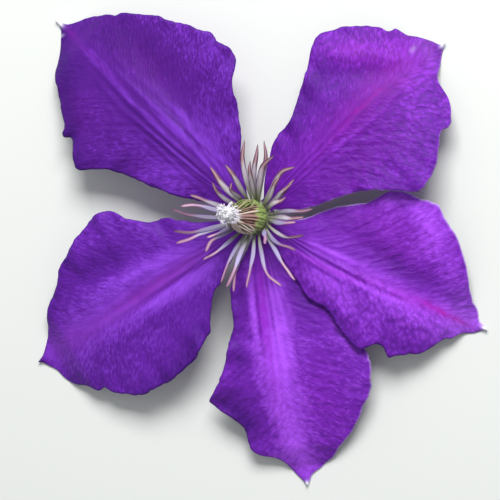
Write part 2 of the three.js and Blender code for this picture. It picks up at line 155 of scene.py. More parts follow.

# The sepals. A pair holds the values of a sepal's left side, which lies anticlockwise, and of its right.
# tint is its colour, the next that of its painted highlights, its lightest parts, and flush that of
# its blushes.
# direction is in degrees from +X, and bend is how far the midrib bows to the left. arch is at ARCH_MARKS.
# lift raises the margins, ruffle and phase wave them, and rim paints along them a pale painted highlight,
# and below 0 painted shade, as where they turn down.
# folds, tones, blushes and pales are soft patches, each (along, across, turn in degrees, half length, half
# breadth, amount). folds raise the surface, blushes flush it and pales whiten it. tones lighten and darken
# it, mostly as painted light and shade: over its folds, turned margins and grooves, and where the sepals
# over it shade it. A few are its own colour, as the dark tip of the bottom left sepal.
# puffs is how puffed the skin is, and sweep how far the side veins run forward.
# texture is the depth of the skin, grain how strongly its pattern is painted into the colour, as painted
# highlight on the crinkles' crests and painted shade in their grooves, and ribbing how much lighter its ribs
# are, a painted highlight on their crests with painted shade in the grooves between. Its lengthways rows are
# gone at the first share in rows and full at the second.
# left and right are the outline, as (along, across) from the flower's axis.
SEPALS = [
    {
        "name": "sepal_top_left",
        "tint": colour(80, 18, 130), "highlight_tint": colour(126, 54, 200), "flush": colour(110, 20, 136),
        "direction": 137.5, "length": 72.9, "bend": 0.6, "arch": (8.0, 9.9, 8.9, 4.4),
        "lift": (-0.9, 0.9), "ruffle": (0.5, 0.4), "phase": (0.4, 2.2),
        "folds": [(32, -1, 0, 26, 5, 0.7), (40, -9, -8, 18, 4, -0.6), (30, -20, -12, 10, 4, 0.6),
                  (50, 8, 12, 10, 4, 0.3)],
        "tones": [(26, -2.4, 2, 20, 3.4, 0.4), (18, -4.4, 0, 8, 2, 0.4), (50, -10, 12, 15, 5, -0.6),
                  (57, 12.5, -36, 16, 5, -0.9), (60, 9, -34, 10, 2.5, -0.6), (48, 19, -25, 12, 3, -0.4),
                  (25, 2.9, 2, 16, 0.5, -0.85), (23, 0.8, 4, 12, 0.4, -0.6),
                  (30, -0.9, -3, 12, 0.35, -0.5), (24, -3.7, 0, 12, 0.4, -0.6),
                  (24, 4.6, 0, 14, 0.5, -0.4), (46, -2.2, 0, 14, 0.4, -0.6), (48, 1.2, 0, 14, 0.45, -0.6),
                  (36, -21, -12, 15, 5, 0.3), (20, -10, 22, 9, 4, 0.4), (24, 8, 0, 9, 4.5, 0.5),
                  (35, 15, 45, 9, 2.5, -0.45), (52, 16, -30, 9, 2.5, -0.35), (21, 3, 0, 7, 3, 0.25),
                  (56, -0.6, 0, 11, 1.6, 0.4), (54, 4, 3, 12, 2.5, -0.4), (55, -9, 12, 12, 4, -0.3)],
        "blushes": [(68, -0.3, 0, 4, 0.7, 0.4), (52, 12, 20, 9, 6, 0.1), (56, -0.6, 0, 10, 0.5, 0.15),
                    (46, -9, 10, 12, 5, 0.15)],
        "pales": [(71.9, 0, 0, 1.1, 0.6, 1.6), (69.4, 2.2, 60, 0.9, 0.3, 0.6)],
        "rim": (-0.75, -0.4), "puffs": (0.2, 0.1), "sweep": (5.5, 6.0), "texture": 0.8,
        "grain": (0.95, 1.2), "rows": (1.0, 0.4), "ribbing": 0.42,
        "left": [(8.5, 4.1), (18.1, 9.6), (24.4, 12.3), (28.9, 13.7), (32.0, 15.0), (34.7, 16.2),
                 (37.1, 18.0), (39.2, 20.1), (40.9, 21.9), (42.2, 22.1), (44.0, 21.0), (46.9, 18.6),
                 (48.0, 17.9), (49.0, 18.1), (50.0, 18.8), (50.9, 18.3), (51.3, 17.0), (55.0, 14.8),
                 (57.5, 13.3), (60.2, 11.4), (62.2, 10.2), (63.7, 9.1), (66.6, 5.1), (68.6, 3.0),
                 (70.2, 1.1), (71.4, 0.6)],
        "right": [(8.5, 5.0), (12.3, 8.1), (16.6, 13.1), (19.7, 15.6), (22.0, 17.4), (24.3, 18.8),
                  (26.2, 20.5), (27.5, 22.8), (29.0, 24.7), (31.7, 25.8), (33.7, 25.5), (35.4, 24.8),
                  (36.7, 25.2), (38.5, 25.1), (40.4, 24.0), (42.4, 23.4), (45.6, 22.0), (48.2, 20.5),
                  (51.0, 19.6), (53.5, 17.8), (57.7, 14.9), (60.0, 13.2), (60.7, 11.7), (61.4, 11.2),
                  (63.7, 9.5), (66.7, 6.2), (68.2, 3.8), (70.0, 1.2), (71.4, 0.5)],
    },
    {
        "name": "sepal_top_right",
        "tint": colour(95, 23, 148), "highlight_tint": colour(160, 58, 230), "flush": colour(128, 8, 146),
        "direction": 43, "length": 60.8, "bend": 0, "arch": (8.6, 10.8, 9.7, 4.8),
        "lift": (0.6, 1.0), "ruffle": (0.5, 0.4), "phase": (3.4, 0.9),
        "folds": [(46, 10, -45, 9, 2.6, 1.0), (43, 6, -40, 10, 2.6, -0.5), (28, 1, 0, 20, 5, 0.4),
                  (30, -9, 8, 16, 4, -0.4)],
        "tones": [(44, 13, -45, 9, 3.4, 0.4), (38, 12, 15, 14, 4, -0.12), (52, 5, -45, 5, 4, 0.15),
                  (42, 7, -40, 8, 2.4, -0.3), (26, 12, 15, 12, 2.2, -0.5), (24, -9, 10, 18, 8, -0.25),
                  (36, 4, 0, 14, 6, -0.1), (40, 0.2, 0, 9, 0.5, -0.4), (38, 1.3, 0, 5, 0.35, -0.6),
                  (51, 0, 0, 7, 5, 0.35), (18, 0, 0, 6, 6, 0.15), (29, -1, 0, 10, 5, 0.2)],
        "blushes": [(38, 1.2, 0, 5, 0.45, 0.8), (30, 0.2, 4, 14, 0.6, 0.12), (36, 1.5, 0, 15, 4.0, 0.4),
                    (50, 4, 0, 9, 7, 0.3), (44, 13, -45, 6, 3, 0.3), (30, -8, 0, 16, 6, 0.14)],
        "pales": [(60.4, 0, 0, 0.9, 0.5, 1.5), (54.3, 4.0, 30, 0.9, 0.5, 0.16), (57, 0, 0, 5, 9, 0.02)],
        "rim": (-0.4, 0.25), "puffs": (0.2, 0.6), "sweep": (5.0, 4.4), "texture": 1.1,
        "grain": (0.95, 0.65), "rows": (0.5, 0.15), "ribbing": 0.2,
        "left": [(9.8, 6.4), (16.8, 9.9), (22.5, 10.7), (28.0, 13.8), (33.0, 16.6), (38.0, 20.2),
                 (40.6, 21.2), (45.6, 19.2), (47.6, 17.7), (49.3, 16.3), (50.7, 15.0), (52.1, 13.6),
                 (52.5, 12.9), (52.8, 11.6), (53.6, 10.9), (54.6, 10.6), (55.0, 9.6), (55.5, 7.6),
                 (56.8, 6.1), (57.8, 4.5), (58.8, 2.6), (59.5, 0.8)],
        "right": [(8.4, 5.8), (13.1, 8.7), (18.0, 10.9), (24.2, 14.4), (28.8, 18.4), (33.0, 22.8),
                  (36.0, 23.0), (41.0, 20.8), (46.4, 15.9), (48.6, 16.1), (51.0, 13.9), (52.8, 10.5),
                  (53.6, 6.0), (56.2, 3.2), (58.6, 1.2), (59.8, 0.6)],
    },
    {
        "name": "sepal_right",
        "tint": colour(106, 30, 162), "highlight_tint": colour(172, 78, 242), "flush": colour(154, 20, 170),
        "direction": -26.2, "length": 60.8, "bend": -1.5, "arch": (8.5, 9.8, 8.3, 4.1),
        "lift": (-1.6, -0.2), "ruffle": (0.3, 0.3), "phase": (1.2, 5.1),
        "folds": [(30, -4, 0, 22, 4, 0.8), (34, 4.5, -6, 16, 3, -0.7), (40, 14, -38, 12, 4, 0.9),
                  (19, -12, -24, 11, 4, -0.7)],
        "tones": [(23, 0.6, 0, 12, 1.0, 0.45), (36, -3, 0, 14, 3.8, 0.6), (50, -2.5, 0, 9, 4.0, 0.45),
                  (38.5, 17, -38, 11, 4, 0.7), (34, 5.5, -6, 12, 2.4, -0.5),
                  (29, -14.5, -24, 9, 2.6, -0.7), (20, 9, 20, 8, 3, -0.3), (26, -1.7, 0, 13, 0.6, -0.5),
                  (23, -4.2, -2, 10, 0.6, -0.5), (22, -3.0, -2, 12, 0.6, 0.4),
                  (25, -7.5, -12, 10, 3.0, 0.6), (56, -1, 0, 5, 5, 0.4), (27.5, 18.5, 30, 4, 1.8, 1.0),
                  (44, -13.5, 25, 7, 2, -0.4)],
        "blushes": [(50.4, -0.7, -3, 5.5, 0.6, 0.85), (48, -0.6, 0, 9, 2.0, 0.18),
                    (22, -3.0, 0, 9, 0.7, 0.25), (40, -1.0, 0, 14, 1.4, 0.2), (30, 12, 0, 14, 7, 0.12)],
        "pales": [(60.5, 0, 0, 1.0, 0.5, 1.2), (57, 0, 0, 7, 9, 0.035)],
        "rim": (0.9, -0.75), "puffs": (0.5, 1.1), "sweep": (5.0, 4.0), "texture": 1.2,
        "grain": (0.45, 0.36), "rows": (0.55, 0.15), "ribbing": 0.2,
        "left": [(7.0, 2.8), (11.0, 5.3), (16.8, 11.0), (23.0, 15.3), (24.6, 17.3), (26.2, 19.6),
                 (28.2, 20.7), (31.0, 21.5), (34.1, 21.5), (36.4, 21.9), (38.3, 21.7), (40.0, 20.4),
                 (42.2, 18.9), (44.6, 17.6), (47.6, 14.4), (50.0, 11.9), (51.8, 9.2), (53.2, 6.9),
                 (55.0, 4.6), (56.8, 3.0), (58.1, 1.1), (59.4, 0.6)],
        "right": [(11.0, 6.4), (15.7, 9.3), (20.0, 11.6), (25.6, 12.4), (30.5, 15.2), (36.2, 17.3),
                  (39.4, 14.4), (41.0, 14.3), (42.2, 15.1), (43.5, 16.0), (44.9, 14.7), (46.4, 13.9),
                  (47.3, 13.0), (48.7, 12.5), (50.3, 11.0), (51.9, 8.3), (53.1, 6.3), (54.4, 5.4),
                  (55.6, 3.7), (57.9, 2.4), (59.6, 0.9)],
    },
    {
        "name": "sepal_bottom",
        "tint": colour(106, 31, 163), "highlight_tint": colour(178, 86, 247), "flush": colour(142, 32, 192),
        "direction": -80.7, "length": 65.7, "bend": 0.8, "arch": (7.0, 8.2, 7.2, 3.7),
        "lift": (-1.4, 0.4), "ruffle": (0.3, 0.5), "phase": (2.6, 4.0),
        "folds": [(32, 0, 0, 26, 4.5, 0.8), (47, -15, 30, 9, 6, -1.4), (34, -7, 4, 14, 2.6, -0.4)],
        "tones": [(24, 2.4, 0, 14, 2.4, 0.35), (38, -1.5, 1, 25, 4.8, 0.9), (57, 0.5, 0, 8, 4, 0.3),
                  (46.5, -13.4, 30, 7, 4.4, -1.0), (29, -10.5, 10, 13, 2.2, -0.6),
                  (22, 10, 30, 10, 3, -0.25), (22, -3.1, -3, 9, 0.5, -0.9), (21, -0.1, 0, 7, 0.4, -0.35),
                  (23, -4.5, -3, 8, 0.9, 0.4), (18, -6.2, 0, 9, 1.0, -0.4), (19.7, -8, 0, 6, 2, -0.4),
                  (28, 15, 20, 7, 2.5, 0.35), (19.7, 7, 20, 6, 2, -0.4)],
        "blushes": [(20, -1.6, -3, 12, 1.4, 0.75), (36, -2.4, 0, 14, 2.0, 0.25), (46, 9, 0, 12, 6, 0.2)],
        "pales": [(65.5, 0, 0, 0.7, 0.5, 1.3)],
        "rim": (0.6, -0.5), "puffs": (0.4, 0.7), "sweep": (2.6, 4.0), "texture": 1.1,
        "grain": (0.48, 0.34), "rows": (0.55, 0.15), "ribbing": 0.2,
        "left": [(7.5, 4.1), (15.6, 9.4), (22.5, 14.4), (29.1, 18.2), (35.3, 20.8), (39.6, 21.4),
                 (45.4, 20.0), (49.1, 17.5), (51.4, 16.2), (54.6, 13.4), (57.5, 10.1), (60.0, 7.4),
                 (60.5, 6.3), (62.0, 3.8), (63.3, 1.6), (64.8, 0.7)],
        "right": [(9.0, 5.0), (13.1, 7.6), (17.3, 9.6), (24.3, 9.8), (28.0, 11.6), (32.5, 13.2),
                  (35.5, 14.7), (39.3, 17.2), (41.6, 19.3), (42.4, 19.3), (43.9, 18.0), (46.7, 15.2),
                  (49.7, 12.4), (52.0, 12.1), (54.2, 12.0), (55.8, 11.1), (57.1, 9.2), (58.0, 6.4),
                  (59.6, 4.4), (62.1, 2.8), (64.0, 1.3), (64.8, 0.7)],
    },
    {
        "name": "sepal_bottom_left",
        "tint": colour(92, 26, 150), "highlight_tint": colour(144, 70, 218), "flush": colour(124, 42, 160),
        "direction": -148.4, "length": 68.3, "bend": 2.0, "arch": (7.8, 9.5, 8.4, 4.2),
        "lift": (-0.4, -0.4), "ruffle": (0.4, 0.5), "phase": (5.6, 1.7),
        "folds": [(32, 6.5, 3, 22, 3, 0.7), (28, -3.5, -8, 16, 2.6, 0.5), (40, -9, -10, 12, 3.4, -0.7),
                  (27, -15, -62, 6, 2.4, 1.0), (22.5, -12, -62, 5, 2, -0.5), (46, -16, -70, 4, 2, 0.6)],
        "tones": [(27, 4.4, 2, 12, 1.9, 0.6), (32, -4, -8, 12, 2.6, 0.55), (27, -14, -62, 5, 2.2, 0.4),
                  (39, -11, -10, 9, 4, -0.5), (47, -17, -70, 4, 1.6, -0.4),
                  (22.5, -11, -62, 5, 1.6, -0.3), (38, 21, 0, 16, 2.0, -0.4), (31, 18.5, 24, 12, 4, -0.6),
                  (23, 2.4, -1, 9, 0.5, -0.9), (22, -0.4, -2, 10, 0.4, -0.35), (68, 0, 0, 0.9, 1.2, -2.4),
                  (50, 0.5, 0, 17, 6, 0.55), (19, 4.5, 10, 6, 4, 0.4), (20, -1, 0, 8, 2.5, 0.3),
                  (57, -9.5, 40, 7, 1.6, -0.5), (61, 9.5, -45, 5, 1.6, -0.4),
                  (47.7, -15.8, 82, 2.2, 0.6, -0.7)],
        "blushes": [(26, 0.7, 0, 15, 1.7, 0.6), (40, 1.2, 0, 12, 2.4, 0.3), (57, 0, 0, 10, 4, 0.3)],
        "pales": [],
        "rim": (-0.75, -0.75), "puffs": (0.15, 0.25), "sweep": (4.6, 5.4), "texture": 0.85,
        "grain": (0.8, 0.65), "rows": (0.6, 0.2), "ribbing": 0.2,
        "left": [(9.0, 4.6), (13.5, 7.2), (16.0, 8.9), (17.9, 9.8), (19.7, 11.4), (21.8, 13.7),
                 (22.9, 15.3), (24.1, 17.4), (26.0, 18.4), (28.5, 20.0), (32.0, 21.4), (36.1, 22.2),
                 (40.0, 22.3), (45.2, 21.8), (47.6, 21.4), (51.1, 19.4), (54.3, 16.9), (55.5, 15.0),
                 (56.6, 14.6), (57.8, 14.4), (59.6, 12.2), (61.7, 10.5), (63.9, 8.4), (64.8, 6.6),
                 (65.3, 4.4), (66.7, 2.1), (67.6, 0.6)],
        "right": [(8.8, 4.2), (12.8, 6.4), (15.5, 8.5), (17.2, 9.9), (18.6, 11.5), (20.3, 12.3),
                  (23.4, 12.9), (25.6, 14.7), (28.1, 17.3), (29.6, 19.7), (31.5, 21.3), (34.5, 21.9),
                  (37.7, 21.2), (43.4, 19.2), (47.6, 17.1), (50.4, 15.6), (52.6, 13.3), (56.0, 11.2),
                  (58.5, 9.5), (60.2, 7.8), (61.8, 5.5), (65.0, 2.4), (66.6, 1.0), (67.4, 0.6)],
    },
]

# Receptacle and stub of the stalk, as (radius, height) from the cut end up, with shallow flutes.
RECEPTACLE_PROFILE = [(0, 0.9), (0.95, 0.9), (1.15, 1.1), (1.2, 3.6), (1.35, 4.1), (1.7, 4.6), (2.6, 5.1),
                      (3.4, 5.7), (4.0, 6.1), (4.25, 6.8), (4.25, 9.2), (3.8, 9.6), (3.0, 9.8), (2.7, 11.2),
                      (0, 11.2)]
FLUTES = 8
FLUTE_DEPTH = 0.05
FLUTE_FADE = (5.2, 4.0)
CUT_FADE = (1.05, 0.95)
CUT_RADIUS = (1.1, 0.9)

# Stamens: their collar, and each one's (direction of its tip, reach, rise, swing of its middle).
COLLAR_PROFILE = [(3.1, 10.4), (3.5, 10.0), (3.8, 10.2), (3.75, 10.8), (3.4, 11.1), (3.1, 11.0), (3.1, 10.4)]
COLLAR_RIPENESS = 0.3
STAMEN_ROOT_RADIUS = 3.4
STAMEN_ROOT_HEIGHT = 10.7
STAMEN_COURSE = [(0, 0, 1), (0.35, 0.5, 1), (0.7, 0.85, 0.8), (1, 1, 0)]
STAMENS = [
    (-167, 18.4, 7.0, 3), (-157.8, 18.6, 6.6, -4), (-154.5, 10.8, 7.6, 3), (-142.5, 12.8, 8.0, -5),
    (-135.5, 14.8, 6.8, 4), (-112, 16.9, 6.8, -3), (-107, 17.3, 7.6, 3), (-99.5, 18.1, 6.8, -5),
    (-88, 16.8, 6.9, 2), (-64.8, 18.5, 6.5, -8), (-49.3, 19.1, 7.0, -3), (-49, 7.9, 7.6, 2),
    (-30.5, 14.3, 6.9, -12), (-15.5, 14.7, 7.1, -14), (-6, 12.2, 7.4, -5), (1.8, 14.0, 7.0, -4),
    (4.5, 16.2, 6.6, 3), (22, 10.8, 7.8, 5), (30.5, 13.6, 7.2, 4), (36, 14.6, 6.8, -3),
    (47.5, 16.7, 7.3, 4), (49, 12.6, 8.4, -4), (67.5, 16.0, 7.6, 6), (74.6, 18.4, 7.1, -3),
    (78.5, 17.3, 8.0, 4), (87.5, 13.1, 8.6, -4), (93, 18.0, 7.4, 3), (113, 13.3, 7.9, -5),
    (118, 8.8, 8.0, 3), (124.5, 14.9, 7.2, 6), (137, 11.8, 7.6, 7), (157.5, 14.8, 7.1, 3),
    (170.8, 16.3, 7.7, -3), (177, 18.7, 6.9, 3),
]

# Half widths and half depths along a stamen. Those that point about this direction are oldest and broadest.
STAMEN_WIDTHS = [(0, 0.28), (0.12, 0.34), (0.36, 0.6), (0.52, 0.52), (0.6, 0.38), (0.68, 0.34), (0.86, 0.36),
                 (0.95, 0.29), (1, 0.1)]
AGED_WIDTHS = [(0, 0.28), (0.12, 0.38), (0.34, 0.66), (0.52, 0.66), (0.62, 0.62), (0.74, 0.54), (0.86, 0.38),
               (0.95, 0.19), (1, 0.06)]
STAMEN_DEPTHS = [(0, 0.24), (0.3, 0.15), (0.52, 0.13), (0.62, 0.2), (0.86, 0.19), (1, 0.05)]
AGED_DIRECTION = 75
AGED_FADE = (0.45, 0.85)
FILAMENT_GROOVE = 0.04
ANTHER_GROOVE = 0.1
ANTHER_START = (0.58, 0.66)
STAMEN_STATIONS = 30
STAMEN_SIDES = 14

# How much the stamens differ: the hook at the tip, a kink, breadth, twist in radians and age.
STAMEN_DRAWS = 11
HOOK = 0.9
HOOK_START = 0.6
KINK = 0.35
KINK_FADE = (0.1, 0.5)
ASIDE_RISE = 0.25
BREADTHS = (0.85, 1.15)
TWIST = 0.7
AGE_SPREAD = 0.2

# Pistils: the dome's (share of its height, radius), how it leans over, and how deep its core lies in it.
PISTIL_BASE = 11.9
PISTIL_HEIGHT = 7.2
PISTIL_LEAN = -3.4
PISTIL_LEAN_POWER = 1.3
DOME_PROFILE = [(0, 2.6), (0.12, 3.3), (0.28, 3.8), (0.46, 3.75), (0.66, 3.0), (0.84, 2.0), (1, 1.4)]
DOME_STATIONS = 24
DOME_SINK = 0.35

# Styles: an outer layer that starts low and stands proud of the dome, and an inner one in its gaps.
PISTIL_DRAWS = 23
STYLE_COUNT = 78
STYLE_OUTER = 36
STYLE_WIDTHS = [(0, 0.12), (0.06, 0.36), (0.16, 0.38), (0.28, 0.25), (0.5, 0.19), (0.9, 0.16), (1, 0.12)]
STYLE_STATIONS = 20
STYLE_SIDES = 8
OUTER_START = (0.0, 0.1)
INNER_START = (0.18, 0.42)
OUTER_PROUD = (0.1, 0.36)
INNER_PROUD = (-0.3, -0.1)
STYLE_TOP = 1.03
STYLE_SINK = 0.1
STYLE_JITTER = 0.1
STYLE_DRIFT = 0.5
STYLE_WAVE = 0.18
STYLE_WAVE_PACE = 6
STYLE_BREADTHS = (0.8, 1.25)
INNER_BREADTH = 0.75
STYLE_FLATNESS = 0.8
CARPEL_SWELL = 0.9
CARPEL_EDGE = (0.04, -0.05)

# Carpels reach up to this share of the dome's height, and higher on its side towards +X. The hidden side,
# given by the cosine of a style's direction, has slimmer styles.
CARPEL_HEIGHT = 0.12
CARPEL_RISE = 0.42
CARPEL_RISE_POWER = 0.6
CARPEL_JITTER = 0.04
HIDDEN_SIDE = (0.1, -0.4)
HIDDEN_SLIMMING = 0.35

# What a style's brownness is made of: its own draw, the side away from -Y, the inner layer, the hidden side
# for even and odd ones, and the side towards +Y. Green shines through there too.
# The inner layer and the odd styles on the hidden side are painted browner, as painted shade in the gaps
# between the outer styles; the even ones there are paler.
BROWN_DRAW = 0.62
BROWN_BACK = 0.38
BROWN_INNER_GAP_SHADE = 0.3
BROWN_HIDDEN_GAP_SHADE = (-0.3, 0.55)
BROWN_FAR = 0.2
OLIVE_FAR = 0.65

# The brownness of the dome's core, painted dark: painted shade in the gaps between the styles. The few
# styles that reach it are painted like the core.
CORE_MARK = 1.5

# The tuft of stigmas above the pistils: a lumpy core and the curls that stand out of it.
TUFT_DRAWS = 37
TUFT_CORE = 1.85
TUFT_MIDDLE = (-0.5, 0.5, 1.4)
TUFT_LUMPS = 0.12
TUFT_LUMP_PACE = 2.2
TUFT_LUMP_PLACE = 7
TUFT_LUMP_SEED = 41
TUFT_COUNT = 100
TUFT_SPREAD = 1.25
CURL_ROOT = 0.6
CURL_LENGTHS = (1.6, 3.1)
CURL_TURNS = (0.4, 4.2)
CURL_WIDTHS = (0.14, 0.2)
CURL_TAPER = 0.25
CURL_TURN_POWER = 1.8
TOP_SHORTENING = 0.25
TOP_FADE = (0.3, 1.0)
CURL_STATIONS = 12
CURL_SIDES = 6

# Straight rods are made in lanes this far apart before each is bent into place. A groove runs along a rod
# where its round section is higher than this share of its radius.
LANE = 20
GROOVE_FACE = 0.3
WELD = 1e-4

# Second colours of the skins, beside the ones that the panel lists.
# The pale rim along the sepals' lit margins is a painted highlight.
RIM_HIGHLIGHT = colour(186, 160, 216)
POINT_TINT = colour(226, 224, 236)
STALK_STREAK = colour(98, 112, 62)
RECEPTACLE_FLUSH = colour(120, 78, 140)
CUT_TINT = colour(196, 204, 150)
# Stamen ribbons. The aged colours are lighter than the fresh ones, painted light for the upper stamens,
# which face away from the lamp, besides their own greyer old colour. The side colours are partly their own
# purple and partly painted shade where a ribbon curves away, and the edge colour is a line of painted shade.
AGED_FILAMENT_PAINTED_LIGHT = colour(212, 204, 212)
FILAMENT_SIDE_TINT_AND_SHADE = colour(138, 120, 178)
AGED_SIDE_LIGHT_AND_SHADE = colour(176, 154, 182)
FILAMENT_EDGE_SHADE = colour(84, 62, 104)
FILAMENT_LINE = colour(152, 142, 118)
ANTHER_RIDGE = colour(168, 130, 160)
# The ripe anthers' edges: their own brown, darkened further as painted shade.
RIPE_ANTHER_EDGE_AND_SHADE = colour(98, 56, 88)
ANTHER_LINE = colour(158, 132, 110)
ANTHER_TIP = colour(110, 66, 96)
# The dark colour of the brownest styles is painted shade in the gaps between the styles.
STYLE_GAP_SHADE = colour(70, 48, 46)
CARPEL_LIGHT = colour(144, 156, 92)
CARPEL_BASE = colour(146, 158, 132)
# The dome's core is painted dark green below and dark brown above: painted shade in the gaps between the
# styles.
CORE_GREEN_SHADE = colour(70, 92, 40)
CORE_BROWN_SHADE = colour(48, 28, 26)
TUFT_SHADOW = colour(222, 218, 232)

# The photograph's frame in pixels, and where it shows the flower's axis at the height of the sepals.
FRAME_PIXELS = 500
AXIS_PIXELS_RIGHT = 6
AXIS_PIXELS_UP = 33
SEPAL_LEVEL = 9

# The stage, in metres but for the gap between the surface and the floor's mesh.
FLOOR_SIZE = 3
FLOOR_GAP = 0.1
PANEL_SIZE = (0.5, 0.35)
PANEL_PLACE = (0.12, 0.55, 0.55)
SENSOR_WIDTH = 36
SKY_TINT = (0.93, 0.96, 1, 1)


def smooth_value(stations, x):
    """A smooth value at each x through (x, value) stations, whose slopes come from their neighbours."""
    xs, ys = np.array(stations, float).T
    slopes = np.empty_like(ys)
    slopes[1:-1] = (ys[2:] - ys[:-2]) / (xs[2:] - xs[:-2])
    slopes[0] = (ys[1] - ys[0]) / (xs[1] - xs[0])
    slopes[-1] = (ys[-1] - ys[-2]) / (xs[-1] - xs[-2])
    x = np.clip(x, xs[0], xs[-1])
    k = np.clip(np.searchsorted(xs, x, side="right") - 1, 0, len(xs) - 2)
    span = xs[k + 1] - xs[k]
    s = (x - xs[k]) / span
    rest = 1 - s
    return (
        (1 + 2 * s) * rest**2 * ys[k]
        + s * rest**2 * span * slopes[k]
        + s**2 * (3 - 2 * s) * ys[k + 1]
        - s**2 * rest * span * slopes[k + 1]
    )


def fade(x, start, end):
    """0 before start and 1 after end, or the other way round where end comes first."""
    s = np.clip((x - start) / (end - start), 0, 1)
    return s * s * (3 - 2 * s)


def ripple(x, y, seed):
    """Smooth noise from -1 to 1 with one cell for each unit of x and y, the same on every run."""
    cells = 256
    table = np.random.default_rng(seed).uniform(-1, 1, (cells, cells))
    column, row = np.floor(x).astype(int), np.floor(y).astype(int)
    across, up = x - column, y - row
    across = across**3 * (across * (6 * across - 15) + 10)
    up = up**3 * (up * (6 * up - 15) + 10)

    def corner(i, j):
        return table[(column + i) % cells, (row + j) % cells]

    low = corner(0, 0) * (1 - across) + corner(1, 0) * across
    high = corner(0, 1) * (1 - across) + corner(1, 1) * across
    return low * (1 - up) + high * up


def ripples(layers, x, y, seed):
    """The sum of layers of noise, each (cell length, cell breadth, amount) and with a seed of its own."""
    return sum(
        amount * ripple(x / length, y / breadth, seed + number)
        for number, (length, breadth, amount) in enumerate(layers)
    )


def patches(spots, along, across):
    """The sum of soft patches at points of a sepal's plan."""
    total = np.zeros_like(along)
    for u, v, turn, half_length, half_breadth, amount in spots:
        cos, sin = math.cos(math.radians(turn)), math.sin(math.radians(turn))
        lengthways = (along - u) * cos + (across - v) * sin
        sideways = (across - v) * cos - (along - u) * sin
        total += amount * np.exp(-((lengthways / half_length) ** 2) - (sideways / half_breadth) ** 2)
    return total


def finish_piece(bm, node, material, values):
    """Makes a mesh object of bm, in millimetres from the axis, that rides on the flower for its node."""
    bmesh.ops.scale(bm, vec=(MM, MM, MM), verts=bm.verts)
    bmesh.ops.translate(bm, vec=(AXIS.x, AXIS.y, 0), verts=bm.verts)
    mesh = bpy.data.meshes.new("fine_" + node)
    bm.to_mesh(mesh)
    bm.free()
    for key, numbers in values.items():
        attribute = mesh.attributes.new(key, "FLOAT", "POINT")
        attribute.data.foreach_set("value", np.asarray(numbers, np.float32))
    mesh.polygons.foreach_set("use_smooth", [True] * len(mesh.polygons))
    mesh.materials.append(material)
    piece = bpy.data.objects.new("fine_" + node, mesh)
    bpy.context.scene.collection.objects.link(piece)
    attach(piece, "root")
    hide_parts(node)


def move_vertices(verts, places):
    for vert, place in zip(verts, places):
        vert.co = place


class Shading:
    """Adds nodes to a node tree. A value is a socket to link or a plain number, vector or colour to set."""

    def __init__(self, tree):
        self.tree = tree

    def put(self, socket, value):
        if isinstance(value, bpy.types.NodeSocket):
            self.tree.links.new(value, socket)
        else:
            socket.default_value = value

    def node(self, kind, inputs=(), **settings):
        made = self.tree.nodes.new(kind)
        for key, value in settings.items():
            setattr(made, key, value)
        for key, value in dict(inputs).items():
            self.put(made.inputs[key], value)
        return made

    def math(self, operation, first, second=0.0):
        return self.node("ShaderNodeMath", {0: first, 1: second}, operation=operation).outputs[0]

    def plus(self, first, second):
        return self.math("ADD", first, second)

    def minus(self, first, second):
        return self.math("SUBTRACT", first, second)

    def times(self, first, second):
        return self.math("MULTIPLY", first, second)

    def ramp(self, value, start, end, low=0.0, high=1.0, change="SMOOTHSTEP"):
        """low where value is at or before start, high at or after end, with a change between them."""
        inputs = {"Value": value, "From Min": start, "From Max": end, "To Min": low, "To Max": high}
        return self.node("ShaderNodeMapRange", inputs, interpolation_type=change).outputs[0]

    def mix(self, amount, first, second):
        return self.node("ShaderNodeMix", {0: amount, 6: first, 7: second}, data_type="RGBA").outputs[2]

    def attributes(self, names):
        """The values that the piece's points carry under each of the names."""
        nodes = [self.node("ShaderNodeAttribute", attribute_name=name) for name in names.split()]
        return [node.outputs["Fac"] for node in nodes]

    def join(self, x, y, z=0.0):
        return self.node("ShaderNodeCombineXYZ", {0: x, 1: y, 2: z}).outputs[0]

    def noise(self, vector, scale, detail=2.0, roughness=0.5):
        inputs = {"Vector": vector, "Scale": scale, "Detail": detail, "Roughness": roughness}
        return self.node("ShaderNodeTexNoise", inputs).outputs["Fac"]

    def swing(self, vector, scale, detail=2.0, roughness=0.5):
        """Noise that swings about 0."""
        return self.minus(self.noise(vector, scale, detail, roughness), 0.5)

    def place(self):
        """The point on the piece, in millimetres."""
        point = self.node("ShaderNodeTexCoord").outputs["Object"]
        return self.node("ShaderNodeVectorMath", {0: point, 3: 1 / MM}, operation="SCALE").outputs[0]


def shader_group(name, inputs, outputs):
    """A shader node group with named sockets; returns the tree, its input sockets and its output node."""
    tree = bpy.data.node_groups.new(name, "ShaderNodeTree")
    kinds = {4: "NodeSocketColor", 1: "NodeSocketFloat"}
    for label, default in inputs.items():
        size = len(default) if isinstance(default, tuple) else 1
        socket = tree.interface.new_socket(name=label, in_out="INPUT", socket_type=kinds[size])
        socket.default_value = default
    for label, size in outputs.items():
        tree.interface.new_socket(name=label, in_out="OUTPUT", socket_type=kinds[size])
    return tree, tree.nodes.new("NodeGroupInput").outputs, tree.nodes.new("NodeGroupOutput")


def plain_shader(name):
    """A new material with its tree's shading helper and its Principled BSDF node."""
    material = bpy.data.materials.new(name)
    material.use_nodes = True
    return material, Shading(material.node_tree), material.node_tree.nodes["Principled BSDF"]


def plant_skin_group():
    """Fine uneven skin, built once: a height and a roughness that vary over a soft plant surface."""
    if "plant_skin" in bpy.data.node_groups:
        return bpy.data.node_groups["plant_skin"]
    inputs = {"Grain": 0.15, "Roughness": 0.5, "Spread": 0.15}
    tree, given, made = shader_group("plant_skin", inputs, {"Height": 1, "Roughness": 1})
    shade = Shading(tree)
    place = shade.place()
    cells = shade.noise(place, shade.math("DIVIDE", 1.0, given["Grain"]))
    change = shade.times(shade.swing(place, 0.9, 3.0), given["Spread"])
    shade.put(made.inputs["Height"], cells)
    shade.put(made.inputs["Roughness"], shade.plus(given["Roughness"], change))
    return tree


